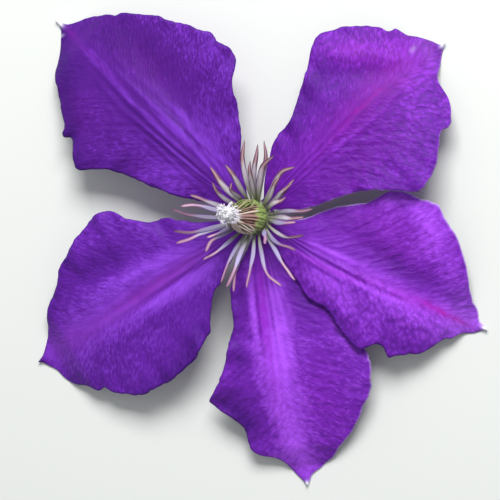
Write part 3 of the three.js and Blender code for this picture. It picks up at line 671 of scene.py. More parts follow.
def petal_group():
    """A sepal's colour and fine relief, from the values that its points carry. Streaks run along its side
    veins, puffs swell between them, and lines run lengthways near its base."""
    grey = (0.5, 0.5, 0.5, 1.0)
    names = ["Main", "Deep", "Light", "Blush", "Rim", "Point"]
    names += ["Underside", "Underside vein", "Underside bar"]
    inputs = dict.fromkeys(names, grey) | {"Texture": 1.0}
    tree, given, made = shader_group("petal_tint", inputs, {"Colour": 4, "Height": 1})
    shade = Shading(tree)
    along, across, share, vein, upper, base = shade.attributes("along across share vein upper base")
    puffs, grain, tone, blush, rim, pale = shade.attributes("puffs grain tone blush rim pale")
    place = shade.place()
    sway = shade.swing(place, SWAY_CELLS)

    run = shade.plus(vein, shade.times(sway, STREAK_SWAY))
    line = shade.join(shade.times(run, STREAK_CELLS[0]), shade.times(across, STREAK_CELLS[1]))
    streak = shade.times(shade.swing(line, 1.0, 2.0, 0.55), STREAK_GAIN)
    streak = shade.times(streak, shade.ramp(shade.math("ABSOLUTE", across), 0.8, 5.0, 0.4, 1.0))
    run = shade.plus(shade.times(along, PUFF_RUN[0]), shade.times(vein, PUFF_RUN[1]))
    run = shade.plus(run, shade.times(sway, PUFF_SWAY))
    cell = shade.join(run, shade.times(across, PUFF_CELLS_ACROSS))
    inputs = {"Vector": cell, "Scale": 1.0, "Smoothness": 0.8}
    gap = shade.node("ShaderNodeTexVoronoi", inputs, feature="SMOOTH_F1", voronoi_dimensions="2D")
    puff = shade.times(shade.minus(PUFF_EDGE, gap.outputs["Distance"]), PUFF_GAIN)
    rows = shade.join(shade.times(share, ROW_CELLS[0]), shade.times(along, ROW_CELLS[1]))
    row = shade.times(shade.swing(rows, 1.0, 3.0, 0.6), ROW_GAIN)

    side = shade.minus(1.0, base)
    calm = shade.times(side, shade.minus(1.0, shade.times(puffs, 0.6)))
    streaks = shade.times(streak, calm)
    swell = shade.times(shade.times(puff, puffs), side)
    pattern = shade.plus(shade.plus(streaks, swell), shade.times(row, base))
    # The pattern is painted into the tone too: painted highlight on its crests and painted shade in its
    # grooves.
    tone = shade.plus(tone, shade.times(pattern, grain))
    tone = shade.plus(tone, shade.swing(place, PATCH_CELLS, 3.0, 0.6))

    # The tone mixes in Light, the colour of the painted highlights, where positive, and Deep, the colour of
    # the painted shade, where negative.
    face = shade.mix(shade.ramp(tone, 0.0, TONE_SPAN, change="LINEAR"), given["Main"], given["Light"])
    face = shade.mix(shade.ramp(tone, 0.0, -TONE_SPAN, change="LINEAR"), face, given["Deep"])
    fleck = shade.ramp(shade.noise(place, FLECK_CELLS, 3.0), 0.35, 0.65, 0.7, 1.1)
    face = shade.mix(shade.times(blush, fleck), face, given["Blush"])
    veins = shade.ramp(pattern, -1.2, 1.2, 0.0, 0.6)
    back = shade.mix(veins, given["Underside"], given["Underside vein"])
    bar = shade.ramp(shade.math("ABSOLUTE", share), 0.3, 0.06, 0.0, 0.7)
    bar = shade.times(bar, shade.ramp(row, -0.8, 0.6, 0.6, 1.0))
    back = shade.mix(bar, back, given["Underside bar"])
    both = shade.mix(upper, back, face)
    # Rim lays its pale painted highlight along the margins.
    both = shade.mix(rim, both, given["Rim"])
    shade.put(made.inputs["Colour"], shade.mix(pale, both, given["Point"]))
    shade.put(made.inputs["Height"], shade.times(pattern, given["Texture"]))
    return tree


def tint_property(name, description, *screen):
    """A colour that the panel lists, with its default as it looks on screen."""
    return bpy.props.FloatVectorProperty(
        name=name, description=description, default=colour(*screen)[:3], size=3, subtype="COLOR", min=0,
        max=1)


class CLEMATIS_PG_sepals(bpy.types.PropertyGroup):
    midrib_thickness: bpy.props.FloatProperty(
        name="Midrib thickness", description="Thickness of a sepal along its midrib",
        default=0.5 * MM, unit="LENGTH")
    margin_thickness: bpy.props.FloatProperty(
        name="Margin thickness", description="Thickness of a sepal near its margin",
        default=0.26 * MM, unit="LENGTH")
    crinkle: bpy.props.FloatProperty(
        name="Crinkle", description="Height of the fine crinkles along the side veins",
        default=0.08 * MM, unit="LENGTH")
    puff: bpy.props.FloatProperty(
        name="Puff", description="Height of the small puffs between the veins",
        default=0.06 * MM, unit="LENGTH")
    # Deep is the colour where the sepals' tone is negative: mostly painted shade in hollows, grooves and
    # shaded parts.
    deep: tint_property("Deep", "Colour in hollows and grooves", 60, 11, 108)
    underside: tint_property("Underside", "Colour of a sepal's underside", 132, 84, 176)
    underside_vein: tint_property("Underside vein", "Colour of the veins below", 160, 122, 190)
    underside_bar: tint_property("Underside bar", "Colour of the paler bar below the midrib", 178, 150, 196)


class CLEMATIS_PG_heart(bpy.types.PropertyGroup):
    filament: tint_property("Filament", "Colour of the stamens' ribbons", 150, 142, 180)
    filament_root: tint_property("Filament root", "Colour of the ribbons where they start", 134, 144, 98)
    anther: tint_property("Anther", "Colour of fresh anthers", 134, 82, 120)
    anther_ripe: tint_property("Ripe anther", "Colour of older anthers", 178, 142, 148)
    carpel: tint_property("Carpel", "Colour of the green carpels", 114, 136, 72)
    style_cream: tint_property("Pale style", "Colour of the pale styles", 208, 194, 178)
    style_brown: tint_property("Brown style", "Colour of the browner styles", 152, 116, 110)
    stigma: tint_property("Stigma", "Colour of the tuft", 238, 236, 244)
    stalk: tint_property("Stalk", "Colour of the stalk and receptacle", 132, 152, 84)


class CLEMATIS_PG_stage(bpy.types.PropertyGroup):
    tilt: bpy.props.FloatProperty(
        name="Camera tilt", description="Turn of the camera from straight down", default=math.radians(15),
        subtype="ANGLE")
    distance: bpy.props.FloatProperty(
        name="Camera distance", description="From the camera to the flower", default=0.6, unit="LENGTH")
    pixel: bpy.props.FloatProperty(
        name="Pixel", description="Size of one pixel at the flower", default=0.24 * MM, unit="LENGTH")
    light_power: bpy.props.FloatProperty(
        name="Light power", description="Power of the soft light", default=9.0, unit="POWER")
    sky: bpy.props.FloatProperty(
        name="Sky", description="Strength of the light from all round", default=0.45)
    floor: tint_property("Floor", "Colour of the floor", 214, 216, 212)


def add_skin(shade, shader, grain, roughness, relief, strength, coarse=None):
    """Gives a material the fine uneven skin, with relief in millimetres, over a coarse normal if given."""
    inputs = {"Grain": grain, "Roughness": roughness, "Spread": 0.2}
    skin = shade.node("ShaderNodeGroup", node_tree=plant_skin_group())
    for label, value in inputs.items():
        shade.put(skin.inputs[label], value)
    fine = shade.node("ShaderNodeBump", {"Distance": relief * MM, "Strength": strength})
    shade.put(fine.inputs["Height"], skin.outputs["Height"])
    if coarse is not None:
        shade.put(fine.inputs["Normal"], coarse)
    shade.put(shader.inputs["Roughness"], skin.outputs["Roughness"])
    shade.put(shader.inputs["Normal"], fine.outputs["Normal"])


def sepal_material(sepal, settings, petal_tint):
    material, shade, shader = plain_shader("petal_" + sepal["name"])
    tint = shade.node("ShaderNodeGroup", node_tree=petal_tint)
    inputs = {
        "Main": sepal["tint"],
        # Light is the colour of the painted highlights.
        "Light": sepal["highlight_tint"],
        "Blush": sepal["flush"],
        # Deep is the colour of the painted shade.
        "Deep": opaque(settings.deep),
        "Underside": opaque(settings.underside),
        "Underside vein": opaque(settings.underside_vein),
        "Underside bar": opaque(settings.underside_bar),
        # The pale painted highlight along the margins.
        "Rim": RIM_HIGHLIGHT,
        "Point": POINT_TINT,
        "Texture": sepal["texture"],
    }
    for label, value in inputs.items():
        shade.put(tint.inputs[label], value)
    coarse = shade.node("ShaderNodeBump", {"Distance": 0.08 * MM, "Strength": 1.0})
    shade.put(coarse.inputs["Height"], tint.outputs["Height"])
    add_skin(shade, shader, 0.14, 0.58, 0.02, 0.5, coarse.outputs["Normal"])
    shade.put(shader.inputs["Base Color"], tint.outputs["Colour"])
    shader.inputs["Specular IOR Level"].default_value = 0.16
    shader.inputs["Sheen Weight"].default_value = 0.04
    shader.inputs["Sheen Roughness"].default_value = 0.4
    return material


def sepal_edge(sepal, along, left, seed):
    """How far the toothed margin lies from the sepal's straight line."""
    tip = (sepal["length"], TIP_HALF_WIDTH)
    edge = np.where(
        left,
        smooth_value([CLAW_END, *sepal["left"], tip], along),
        smooth_value([CLAW_END, *sepal["right"], tip], along),
    )
    teeth = ripples(MARGIN_TEETH, along, np.where(left, *TEETH_ROWS), seed)
    return edge + teeth * fade(edge, *TEETH_FADE)


def sepal_surface(sepal, settings, plan, seed):
    """Places and painted values for the vertices of a sepal's sheet. plan holds, for each, its share of the
    way along and across, from -1 to 1, and 1 on the upper face or 0 below."""
    length = sepal["length"]
    along = CLAW_ROOT + (length - CLAW_ROOT) * (plan[:, 0] + 1) / 2
    share, upper = plan[:, 1], plan[:, 2]
    out, left = np.abs(share), share > 0
    edge = sepal_edge(sepal, along, left, seed)
    inset = edge * (1 - out)
    middle = sepal["bend"] * np.sin(np.pi * along / length)
    across = middle + share * (edge - np.sign(share) * middle)
    s = along / length
    swell = np.sin(np.pi * s)
    turn = 2 * np.pi * along / RUFFLE_LENGTH + np.where(left, *sepal["phase"])
    waves = np.sin(turn) + SECOND_RUFFLE * np.sin(SECOND_PACE * turn)
    ribs = np.cos(2 * np.pi * out / RIB_SPACING) * fade(out, RIB_REACH, 0) * fade(s, *RIB_FADE)
    unevenness = ripple(along / RIB_CELL[0], across / RIB_CELL[1], seed + 6)
    ribs = ribs * (1 - RIB_UNEVENNESS + RIB_UNEVENNESS * unevenness)
    folds = patches(sepal["folds"], along, across)

    vein = along - np.where(left, *sepal["sweep"]) * np.sqrt(np.abs(across) + VEIN_START)
    crinkles = ripples(CRINKLES, vein, across, seed + 2)
    puffs = ripples(PUFFS, vein, across, seed + 4) + ripples(FINE_PUFFS, along, across, seed + 5)
    puffy = np.where(left, *sepal["puffs"])
    calm = MIDRIB_CALM + (1 - MIDRIB_CALM) * fade(np.abs(across - middle), *CALM_FADE)
    tapered = fade(s, *RELIEF_END) * fade(along, *RELIEF_START)
    relief = settings.crinkle / MM * crinkles + (LEAST_PUFF + puffy) * settings.puff / MM * puffs
    relief = relief * sepal["texture"] * calm * tapered

    height = (
        smooth_value([*zip(ARCH_MARKS, sepal["arch"]), *ARCH_END], s)
        + np.where(left, *sepal["lift"]) * swell * out**2
        + np.where(left, *sepal["ruffle"]) * swell * waves * out**RUFFLE_FADE
        + np.sqrt(swell) * (folds + RIB_RELIEF * ribs)
        + relief
        - MARGIN_TURN * swell * fade(inset, MARGIN_BREADTH, 0) ** 2
    )
    thinning = settings.margin_thickness - settings.midrib_thickness
    half = (settings.midrib_thickness + thinning * out) / MM / 2
    half = half * (THIN_EDGE + (1 - THIN_EDGE) * fade(out, 1.0, THIN_START))
    half = np.where(upper > 0.5, half, half + RIB_BULGE * np.maximum(ribs, 0) * np.sqrt(swell))
    clear = height - half
    blend = FLAT_BLEND * (FLAT_BLEND_EDGE - out**2)
    eased = half + blend * np.logaddexp(0, clear / blend)
    z = np.where(upper > 0.5, eased + half, np.maximum(clear, 0))

    direction = math.radians(sepal["direction"])
    x = along * math.cos(direction) - across * math.sin(direction)
    y = along * math.sin(direction) + across * math.cos(direction)
    # rim is painted light along the margin: a pale painted highlight where positive, and painted shade where
    # negative, which goes into the tone.
    rim = np.where(left, *sepal["rim"]) * fade(inset, RIM_BREADTH, 0)
    row_reach = ROW_REACH - ROW_NARROWING * fade(s, 0.3, 0.7)
    patchy = (1 + ripple(along / 9, across / 7, seed + 7)) / 2
    values = {
        "along": along,
        "across": across,
        "share": share,
        "vein": vein,
        "upper": upper,
        "base": fade(s, *sepal["rows"]) * fade(out, row_reach, ROW_CORE),
        "puffs": (0.5 + 0.5 * patchy) * tapered * puffy,
        # grain: how strongly the pattern is painted in as highlight and shade, growing towards the tip.
        "grain": np.where(left, *sepal["grain"]) * (CRINKLE_SHADING_AT_BASE + CRINKLE_SHADING_GAIN * s),
        # The tone is painted light and shade: the tones patches, the ribs lighter on their crests and darker
        # in their grooves, and the dark rims' painted shade.
        "tone": patches(sepal["tones"], along, across) + sepal["ribbing"] * ribs + np.minimum(rim, 0),
        "blush": np.clip(patches(sepal["blushes"], along, across), 0, 1),
        "pale": np.clip(patches(sepal["pales"], along, across), 0, 1),
        "rim": np.maximum(rim, 0),
    }
    return np.column_stack((x, y, z)), values


class CLEMATIS_OT_sepals(bpy.types.Operator):
    """Builds the five sepals"""

    bl_idname = "clematis.sepals"
    bl_label = "Sepals"

    def execute(self, context):
        settings = context.scene.clematis_sepals
        petal_tint = petal_group()
        for number, sepal in enumerate(SEPALS, 1):
            bm = bmesh.new()
            bmesh.ops.create_grid(bm, x_segments=STEPS_ALONG, y_segments=STEPS_ACROSS, size=1)
            raised = bmesh.ops.extrude_face_region(bm, geom=bm.faces[:])
            tops = [item for item in raised["geom"] if isinstance(item, bmesh.types.BMVert)]
            bmesh.ops.translate(bm, vec=(0, 0, 1), verts=tops)
            plan = np.array([vert.co for vert in bm.verts])
            places, values = sepal_surface(sepal, settings, plan, 100 * number)
            move_vertices(bm.verts, places)
            bmesh.ops.recalc_face_normals(bm, faces=bm.faces)
            material = sepal_material(sepal, settings, petal_tint)
            finish_piece(bm, sepal["name"], material, values)
        return {"FINISHED"}


def turn_profile(bm, profile, steps):
    """Turns (radius, height) stations about the axis into a closed body."""
    verts = [bm.verts.new((radius, 0, height)) for radius, height in profile]
    edges = [bm.edges.new(pair) for pair in zip(verts, verts[1:])]
    bmesh.ops.spin(bm, geom=verts + edges, axis=(0, 0, 1), cent=(0, 0, 0), angle=2 * math.pi,
                   steps=steps, use_merge=True)
    bmesh.ops.remove_doubles(bm, verts=bm.verts, dist=WELD)
    bmesh.ops.recalc_face_normals(bm, faces=bm.faces)


def soft_material(name, paint, roughness, relief, grain):
    """A plant skin whose colour comes from paint, a function that adds nodes from the heart's colours."""
    material, shade, shader = plain_shader(name)
    add_skin(shade, shader, grain, roughness, relief, 0.6)
    shade.put(shader.inputs["Base Color"], paint(shade, bpy.context.scene.clematis_heart))
    shader.inputs["Specular IOR Level"].default_value = 0.35
    return material


def paint_stalk(shade, heart):
    turn, rise, cut = shade.attributes("turn rise cut")
    streak = shade.noise(shade.join(shade.times(turn, 3.0), rise), 1.4, 3.0)
    green = shade.mix(shade.ramp(streak, 0.35, 0.65), opaque(heart.stalk), STALK_STREAK)
    flushed = shade.mix(shade.ramp(rise, 4.4, 7.5, 0.0, 0.45), green, RECEPTACLE_FLUSH)
    return shade.mix(cut, flushed, CUT_TINT)


class CLEMATIS_OT_receptacle(bpy.types.Operator):
    """Builds the receptacle and the stub of the stalk"""

    bl_idname = "clematis.receptacle"
    bl_label = "Receptacle and stalk"

    def execute(self, context):
        bm = bmesh.new()
        turn_profile(bm, RECEPTACLE_PROFILE, steps=72)
        places = np.array([vert.co for vert in bm.verts])
        turn = np.arctan2(places[:, 1], places[:, 0])
        radius = np.hypot(places[:, 0], places[:, 1])
        rise = places[:, 2]
        fluting = 1 - FLUTE_DEPTH * (1 - np.cos(FLUTES * turn)) * fade(rise, *FLUTE_FADE)
        places[:, :2] *= fluting[:, None]
        move_vertices(bm.verts, places)
        values = {"turn": turn, "rise": rise, "cut": fade(rise, *CUT_FADE) * fade(radius, *CUT_RADIUS)}
        material = soft_material("green_stalk_skin", paint_stalk, 0.5, 0.03, 0.2)
        finish_piece(bm, "receptacle_stalk", material, values)
        return {"FINISHED"}


def straight_rods(bm, count, sides, stations):
    """Adds closed upright rods to bm, one in each lane beside what stands at the axis. Returns the place of
    every vertex in bm, from the middle of its lane, and its lane, 0 for what was there before."""
    for lane in range(1, count + 1):
        bmesh.ops.create_cone(bm, cap_ends=True, cap_tris=True, segments=sides, radius1=1, radius2=1,
                              depth=1, matrix=Matrix.Translation((LANE * lane, 0, 0)))
    upright = [edge for edge in bm.edges if edge.verts[0].co.x > LANE / 2 and edge.calc_length() == 1
               and abs(edge.verts[0].co.z - edge.verts[1].co.z) == 1]
    bmesh.ops.subdivide_edges(bm, edges=upright, cuts=stations - 1, use_grid_fill=True)
    bmesh.ops.recalc_face_normals(bm, faces=bm.faces)
    places = np.array([vert.co for vert in bm.verts])
    lanes = np.rint(places[:, 0] / LANE).astype(int)
    places[:, 0] -= LANE * lanes
    return places, lanes


def bent(rod, spine, flat_side, width, depth, twist=0.0, groove=0.0):
    """The vertices of a straight rod, now along the spine, with its broad side facing flat_side. width and
    depth are values at the spine's stations, and so is groove where it isn't one number."""
    stations = len(spine) - 1
    step = np.rint((rod[:, 2] + 0.5) * stations).astype(int)
    ahead = np.gradient(spine, axis=0)
    ahead /= np.linalg.norm(ahead, axis=1)[:, None]
    side = np.cross(flat_side, ahead)
    side /= np.linalg.norm(side, axis=1)[:, None]
    up = np.cross(ahead, side)
    turns = (twist * np.linspace(0, 1, stations + 1))[:, None]
    side, up = side * np.cos(turns) + up * np.sin(turns), up * np.cos(turns) - side * np.sin(turns)
    groove_face = np.where(rod[:, 1] > GROOVE_FACE, 1 - rod[:, 0] ** 2, 0)
    hollow = (groove * np.ones(stations + 1))[step] * groove_face
    lift = rod[:, 1] * depth[step] - hollow
    return spine[step] + (rod[:, 0] * width[step])[:, None] * side[step] + lift[:, None] * up[step]


def stamen_spine(direction, reach, rise, swing, hook, kink, shares):
    """The line that a stamen follows, at shares of its length."""
    marks = np.linspace(0, 1, len(STAMEN_COURSE))
    stations = []
    for reach_share, rise_share, swing_share in STAMEN_COURSE:
        out = STAMEN_ROOT_RADIUS + (reach - STAMEN_ROOT_RADIUS) * reach_share
        angle = math.radians(direction + swing * swing_share)
        height = STAMEN_ROOT_HEIGHT + rise * rise_share
        stations.append((out * math.cos(angle), out * math.sin(angle), height))
    points = np.column_stack([smooth_value(list(zip(marks, axis)), shares) for axis in zip(*stations)])
    angle = math.radians(direction)
    aside = hook * fade(shares, HOOK_START, 1.0) ** 2
    aside = aside + kink * np.sin(2 * np.pi * shares) * fade(shares, *KINK_FADE)
    return points + np.outer(aside, (-math.sin(angle), math.cos(angle), ASIDE_RISE))


def paint_stamens(shade, heart):
    along, across, ripe, draw = shade.attributes("along across ripe draw")
    rim = shade.math("ABSOLUTE", across)
    lines = shade.join(shade.times(across, 3.0), shade.times(along, 5.0), shade.times(draw, 40.0))
    lines = shade.noise(lines, 1.0, 3.0)
    # The upper, aged stamens are painted lighter than the fresh ones: painted light, as they face away from
    # the lamp, besides their own older colour.
    aged = shade.ramp(ripe, 0.35, 0.8)
    centre = shade.mix(aged, opaque(heart.filament), AGED_FILAMENT_PAINTED_LIGHT)
    side = shade.mix(aged, FILAMENT_SIDE_TINT_AND_SHADE, AGED_SIDE_LIGHT_AND_SHADE)
    # Towards its sides the ribbon is darker and more purple: partly its own colour, partly painted shade
    # where it curves away.
    ribbon = shade.mix(shade.ramp(rim, 0.25, 0.8), centre, side)
    # A line of painted shade runs along its edges.
    ribbon = shade.mix(shade.ramp(rim, 0.74, 0.98), ribbon, FILAMENT_EDGE_SHADE)
    ribbon = shade.mix(shade.ramp(lines, 0.48, 0.7, 0.0, 0.6), ribbon, FILAMENT_LINE)
    ribbon = shade.mix(shade.ramp(along, 0.4, 0.06, 0.0, 0.85), ribbon, opaque(heart.filament_root))
    fresh = shade.mix(shade.ramp(rim, 0.15, 0.8), ANTHER_RIDGE, opaque(heart.anther))
    # Ripe anthers darken towards their edges: their own brown with painted shade.
    old = shade.mix(shade.ramp(rim, 0.15, 0.7), opaque(heart.anther_ripe), RIPE_ANTHER_EDGE_AND_SHADE)
    anther = shade.mix(aged, fresh, old)
    anther = shade.mix(shade.ramp(lines, 0.5, 0.75, 0.0, 0.4), anther, ANTHER_LINE)
    anther = shade.mix(shade.ramp(along, 0.92, 1.0, 0.0, 0.5), anther, ANTHER_TIP)
    start = shade.plus(along, shade.times(shade.minus(lines, 0.5), 0.24))
    start = shade.plus(start, shade.times(rim, 0.1))
    return shade.mix(shade.ramp(start, 0.56, 0.74), ribbon, anther)


class CLEMATIS_OT_stamens(bpy.types.Operator):
    """Builds the stamens and the collar that they grow from"""

    bl_idname = "clematis.stamens"
    bl_label = "Stamens"

    def execute(self, context):
        draws = np.random.default_rng(STAMEN_DRAWS)
        bm = bmesh.new()
        turn_profile(bm, COLLAR_PROFILE, steps=48)
        places, lanes = straight_rods(bm, len(STAMENS), STAMEN_SIDES, STAMEN_STATIONS)
        rods = lanes > 0
        along = np.where(rods, places[:, 2] + 0.5, 0)
        across = np.where(rods, places[:, 0], 0)
        ripe, draw = np.full(len(places), COLLAR_RIPENESS), np.full(len(places), 0.5)
        shares = np.linspace(0, 1, STAMEN_STATIONS + 1)
        groove = FILAMENT_GROOVE + ANTHER_GROOVE * fade(shares, *ANTHER_START)
        depth = smooth_value(STAMEN_DEPTHS, shares)
        fresh_width, aged_width = smooth_value(STAMEN_WIDTHS, shares), smooth_value(AGED_WIDTHS, shares)
        for lane, (direction, reach, rise, swing) in enumerate(STAMENS, 1):
            own = lanes == lane
            hook, kink = draws.uniform(-HOOK, HOOK), draws.uniform(-KINK, KINK)
            spine = stamen_spine(direction, reach, rise, swing, hook, kink, shares)
            age = 0.5 + 0.5 * math.cos(math.radians(direction - AGED_DIRECTION))
            aged = fade(age, *AGED_FADE)
            width = (1 - aged) * fresh_width + aged * aged_width
            width = draws.uniform(*BREADTHS) * width
            twist = draws.uniform(-TWIST, TWIST)
            places[own] = bent(places[own], spine, (0, 0, 1), width, depth, twist, groove)
            ripe[own] = age + draws.uniform(-AGE_SPREAD, AGE_SPREAD)
            draw[own] = draws.uniform()
        move_vertices(bm.verts, places)
        values = {"along": along, "across": across, "ripe": ripe, "draw": draw}
        material = soft_material("stamen_ribbon", paint_stamens, 0.45, 0.02, 0.12)
        finish_piece(bm, "stamens", material, values)
        return {"FINISHED"}


def lean(share):
    """How far the dome leans over at a share of its height."""
    return PISTIL_LEAN * np.maximum(share, 0) ** PISTIL_LEAN_POWER


def style_colours(angle, start, end, outer, even, draw, along):
    """A style's brownness, which depends on its side of the dome, and its greenness at each point."""
    hidden, side = fade(math.cos(angle), *HIDDEN_SIDE), math.sin(angle)
    # Painted shade in the gaps: the inner layer and the odd styles on the hidden side are browner.
    brown = BROWN_DRAW * draw + BROWN_BACK * fade(side, -0.85, -0.35) + (0 if outer else BROWN_INNER_GAP_SHADE)
    brown += hidden * BROWN_HIDDEN_GAP_SHADE[0 if even else 1] + BROWN_FAR * fade(side, 0.5, 0.8)
    height = start + (STYLE_TOP - start) * along
    olive = OLIVE_FAR * fade(side, 0.5, 0.9) * fade(height, 0.95, 0.7)
    return brown, np.maximum(fade(height, end + CARPEL_EDGE[0], end + CARPEL_EDGE[1]), olive)


def paint_pistils(shade, heart):
    along, brown, greenness = shade.attributes("along brown green")
    speckle = shade.noise(shade.place(), 2.2, 3.0)
    style = shade.mix(shade.ramp(brown, 0.45, 0.7), opaque(heart.style_cream), opaque(heart.style_brown))
    # The brownest styles take the dark colour of the painted shade in the gaps.
    style = shade.mix(shade.ramp(brown, 0.75, 1.1), style, STYLE_GAP_SHADE)
    green = shade.mix(shade.ramp(speckle, 0.4, 0.65), opaque(heart.carpel), CARPEL_LIGHT)
    green = shade.mix(shade.ramp(along, 0.14, 0.02, 0.0, 0.8), green, CARPEL_BASE)
    mixed = shade.mix(greenness, style, green)
    pale = shade.mix(shade.ramp(along, 0.8, 1.0), mixed, opaque(heart.stigma))
    # The core's dark green and dark brown are painted shade in the gaps between the styles.
    core = shade.mix(shade.ramp(along, 0.3, 0.4), CORE_GREEN_SHADE, CORE_BROWN_SHADE)
    return shade.mix(shade.ramp(brown, CORE_MARK - 0.15, CORE_MARK - 0.1), pale, core)


class CLEMATIS_OT_pistils(bpy.types.Operator):
    """Builds the dome of carpels and the styles that lie up over it"""

    bl_idname = "clematis.pistils"
    bl_label = "Pistils"

    def execute(self, context):
        draws = np.random.default_rng(PISTIL_DRAWS)
        bm = bmesh.new()
        shares = np.linspace(0, 1, DOME_STATIONS)
        radii = smooth_value(DOME_PROFILE, shares) - DOME_SINK
        profile = [*zip(radii, PISTIL_BASE + shares * PISTIL_HEIGHT)]
        turn_profile(bm, [(0, profile[0][1]), *profile, (0, profile[-1][1])], steps=48)
        places, lanes = straight_rods(bm, STYLE_COUNT, STYLE_SIDES, STYLE_STATIONS)
        core = lanes == 0
        rise = (places[:, 2] - PISTIL_BASE) / PISTIL_HEIGHT
        places[core, 0] += lean(rise[core])
        along = np.where(core, rise, places[:, 2] + 0.5)
        brown, green = np.full(len(places), CORE_MARK), np.zeros(len(places))
        shares = np.linspace(0, 1, STYLE_STATIONS + 1)
        width = smooth_value(STYLE_WIDTHS, shares)
        for lane in range(1, STYLE_COUNT + 1):
            own = lanes == lane
            outer = lane <= STYLE_OUTER
            start = draws.uniform(*(OUTER_START if outer else INNER_START))
            angle = lane * GOLDEN_ANGLE + draws.uniform(-STYLE_JITTER, STYLE_JITTER)
            up = start + (STYLE_TOP - start) * shares
            proud = draws.uniform(*(OUTER_PROUD if outer else INNER_PROUD))
            radius = smooth_value(DOME_PROFILE, up) + (proud * np.sin(np.pi * shares) - STYLE_SINK)
            wave = draws.uniform(0, STYLE_WAVE) * np.sin(STYLE_WAVE_PACE * shares + draws.uniform(0, 6))
            around = angle + draws.uniform(-STYLE_DRIFT, STYLE_DRIFT) * shares**2 + wave
            height = PISTIL_BASE + up * PISTIL_HEIGHT
            spine = np.column_stack((lean(up) + radius * np.cos(around), radius * np.sin(around), height))
            outward = (math.cos(angle), math.sin(angle), 0.4)
            end = CARPEL_HEIGHT + CARPEL_RISE * max(math.cos(angle), 0) ** CARPEL_RISE_POWER
            end += draws.uniform(-CARPEL_JITTER, CARPEL_JITTER)
            slimmer = 1 - HIDDEN_SLIMMING * fade(math.cos(angle), *HIDDEN_SIDE)
            stout = draws.uniform(*STYLE_BREADTHS) * (width if outer else INNER_BREADTH * width) * slimmer
            stout = stout * (1 + CARPEL_SWELL * fade(up, end + CARPEL_EDGE[0], end + CARPEL_EDGE[1]))
            places[own] = bent(places[own], spine, outward, stout, STYLE_FLATNESS * stout)
            draw = draws.uniform()
            tints = style_colours(angle, start, end, outer, lane % 2 == 0, draw, along[own])
            brown[own], green[own] = tints
        move_vertices(bm.verts, places)
        values = {"along": along, "brown": brown, "green": green}
        material = soft_material("carpel_and_style", paint_pistils, 0.5, 0.03, 0.2)
        finish_piece(bm, "pistils", material, values)
        return {"FINISHED"}


def paint_stigmas(shade, heart):
    speckle = shade.noise(shade.place(), 3.0, 3.0)
    return shade.mix(shade.ramp(speckle, 0.45, 0.7, 0.0, 0.5), opaque(heart.stigma), TUFT_SHADOW)


class CLEMATIS_OT_stigmas(bpy.types.Operator):
    """Builds the white tuft of stigmas"""

    bl_idname = "clematis.stigmas"
    bl_label = "Stigmas"

    def execute(self, context):
        draws = np.random.default_rng(TUFT_DRAWS)
        middle = np.array((PISTIL_LEAN, 0.0, PISTIL_BASE + PISTIL_HEIGHT)) + TUFT_MIDDLE
        bm = bmesh.new()
        bmesh.ops.create_icosphere(bm, subdivisions=3, radius=TUFT_CORE)
        places, lanes = straight_rods(bm, TUFT_COUNT, CURL_SIDES, CURL_STATIONS)
        core = lanes == 0
        x, y, z = (places[core] * TUFT_LUMP_PACE).T
        lumps = 1 + TUFT_LUMPS * ripple(x + TUFT_LUMP_PLACE, y + z + TUFT_LUMP_PLACE, TUFT_LUMP_SEED)
        places[core] = places[core] * lumps[:, None] + middle
        shares = np.linspace(0, 1, CURL_STATIONS + 1)
        for lane in range(1, TUFT_COUNT + 1):
            own = lanes == lane
            rise = 1 - TUFT_SPREAD * (lane - 0.5) / TUFT_COUNT
            angle = lane * GOLDEN_ANGLE
            flat = math.sqrt(1 - rise * rise)
            out = np.array((flat * math.cos(angle), flat * math.sin(angle), rise))
            aside = np.cross(out, draws.normal(size=3))
            aside /= np.linalg.norm(aside)
            size = draws.uniform(*CURL_LENGTHS) * (1 - TOP_SHORTENING * fade(rise, *TOP_FADE))
            heading = draws.uniform(*CURL_TURNS) * shares**CURL_TURN_POWER
            forward = np.concatenate(([0], np.cumsum(np.cos(heading)[1:]))) / CURL_STATIONS
            sideways = np.concatenate(([0], np.cumsum(np.sin(heading)[1:]))) / CURL_STATIONS
            spine = middle + np.outer(CURL_ROOT + size * forward, out) + np.outer(size * sideways, aside)
            width = draws.uniform(*CURL_WIDTHS) * (1 - CURL_TAPER * shares)
            places[own] = bent(places[own], spine, np.cross(out, aside), width, width)
        move_vertices(bm.verts, places)
        material = soft_material("stigma_tuft", paint_stigmas, 0.6, 0.03, 0.15)
        shader = material.node_tree.nodes["Principled BSDF"]
        shader.inputs["Subsurface Weight"].default_value = 0.7
        shader.inputs["Subsurface Radius"].default_value = (1.0, 1.0, 1.0)
        shader.inputs["Subsurface Scale"].default_value = 2.0 * MM
        finish_piece(bm, "stigmas", material, {})
        return {"FINISHED"}


def lay_floor(scene, tint):
    bm = bmesh.new()
    bmesh.ops.create_grid(bm, x_segments=1, y_segments=1, size=FLOOR_SIZE)
    mesh = bpy.data.meshes.new("floor")
    bm.to_mesh(mesh)
    bm.free()
    floor = bpy.data.objects.new("floor", mesh)
    floor.location.z = -FLOOR_GAP * MM
    material, _, shader = plain_shader("pale_floor")
    shader.inputs["Base Color"].default_value = opaque(tint)
    shader.inputs["Roughness"].default_value = 0.9
    mesh.materials.append(material)
    scene.collection.objects.link(floor)


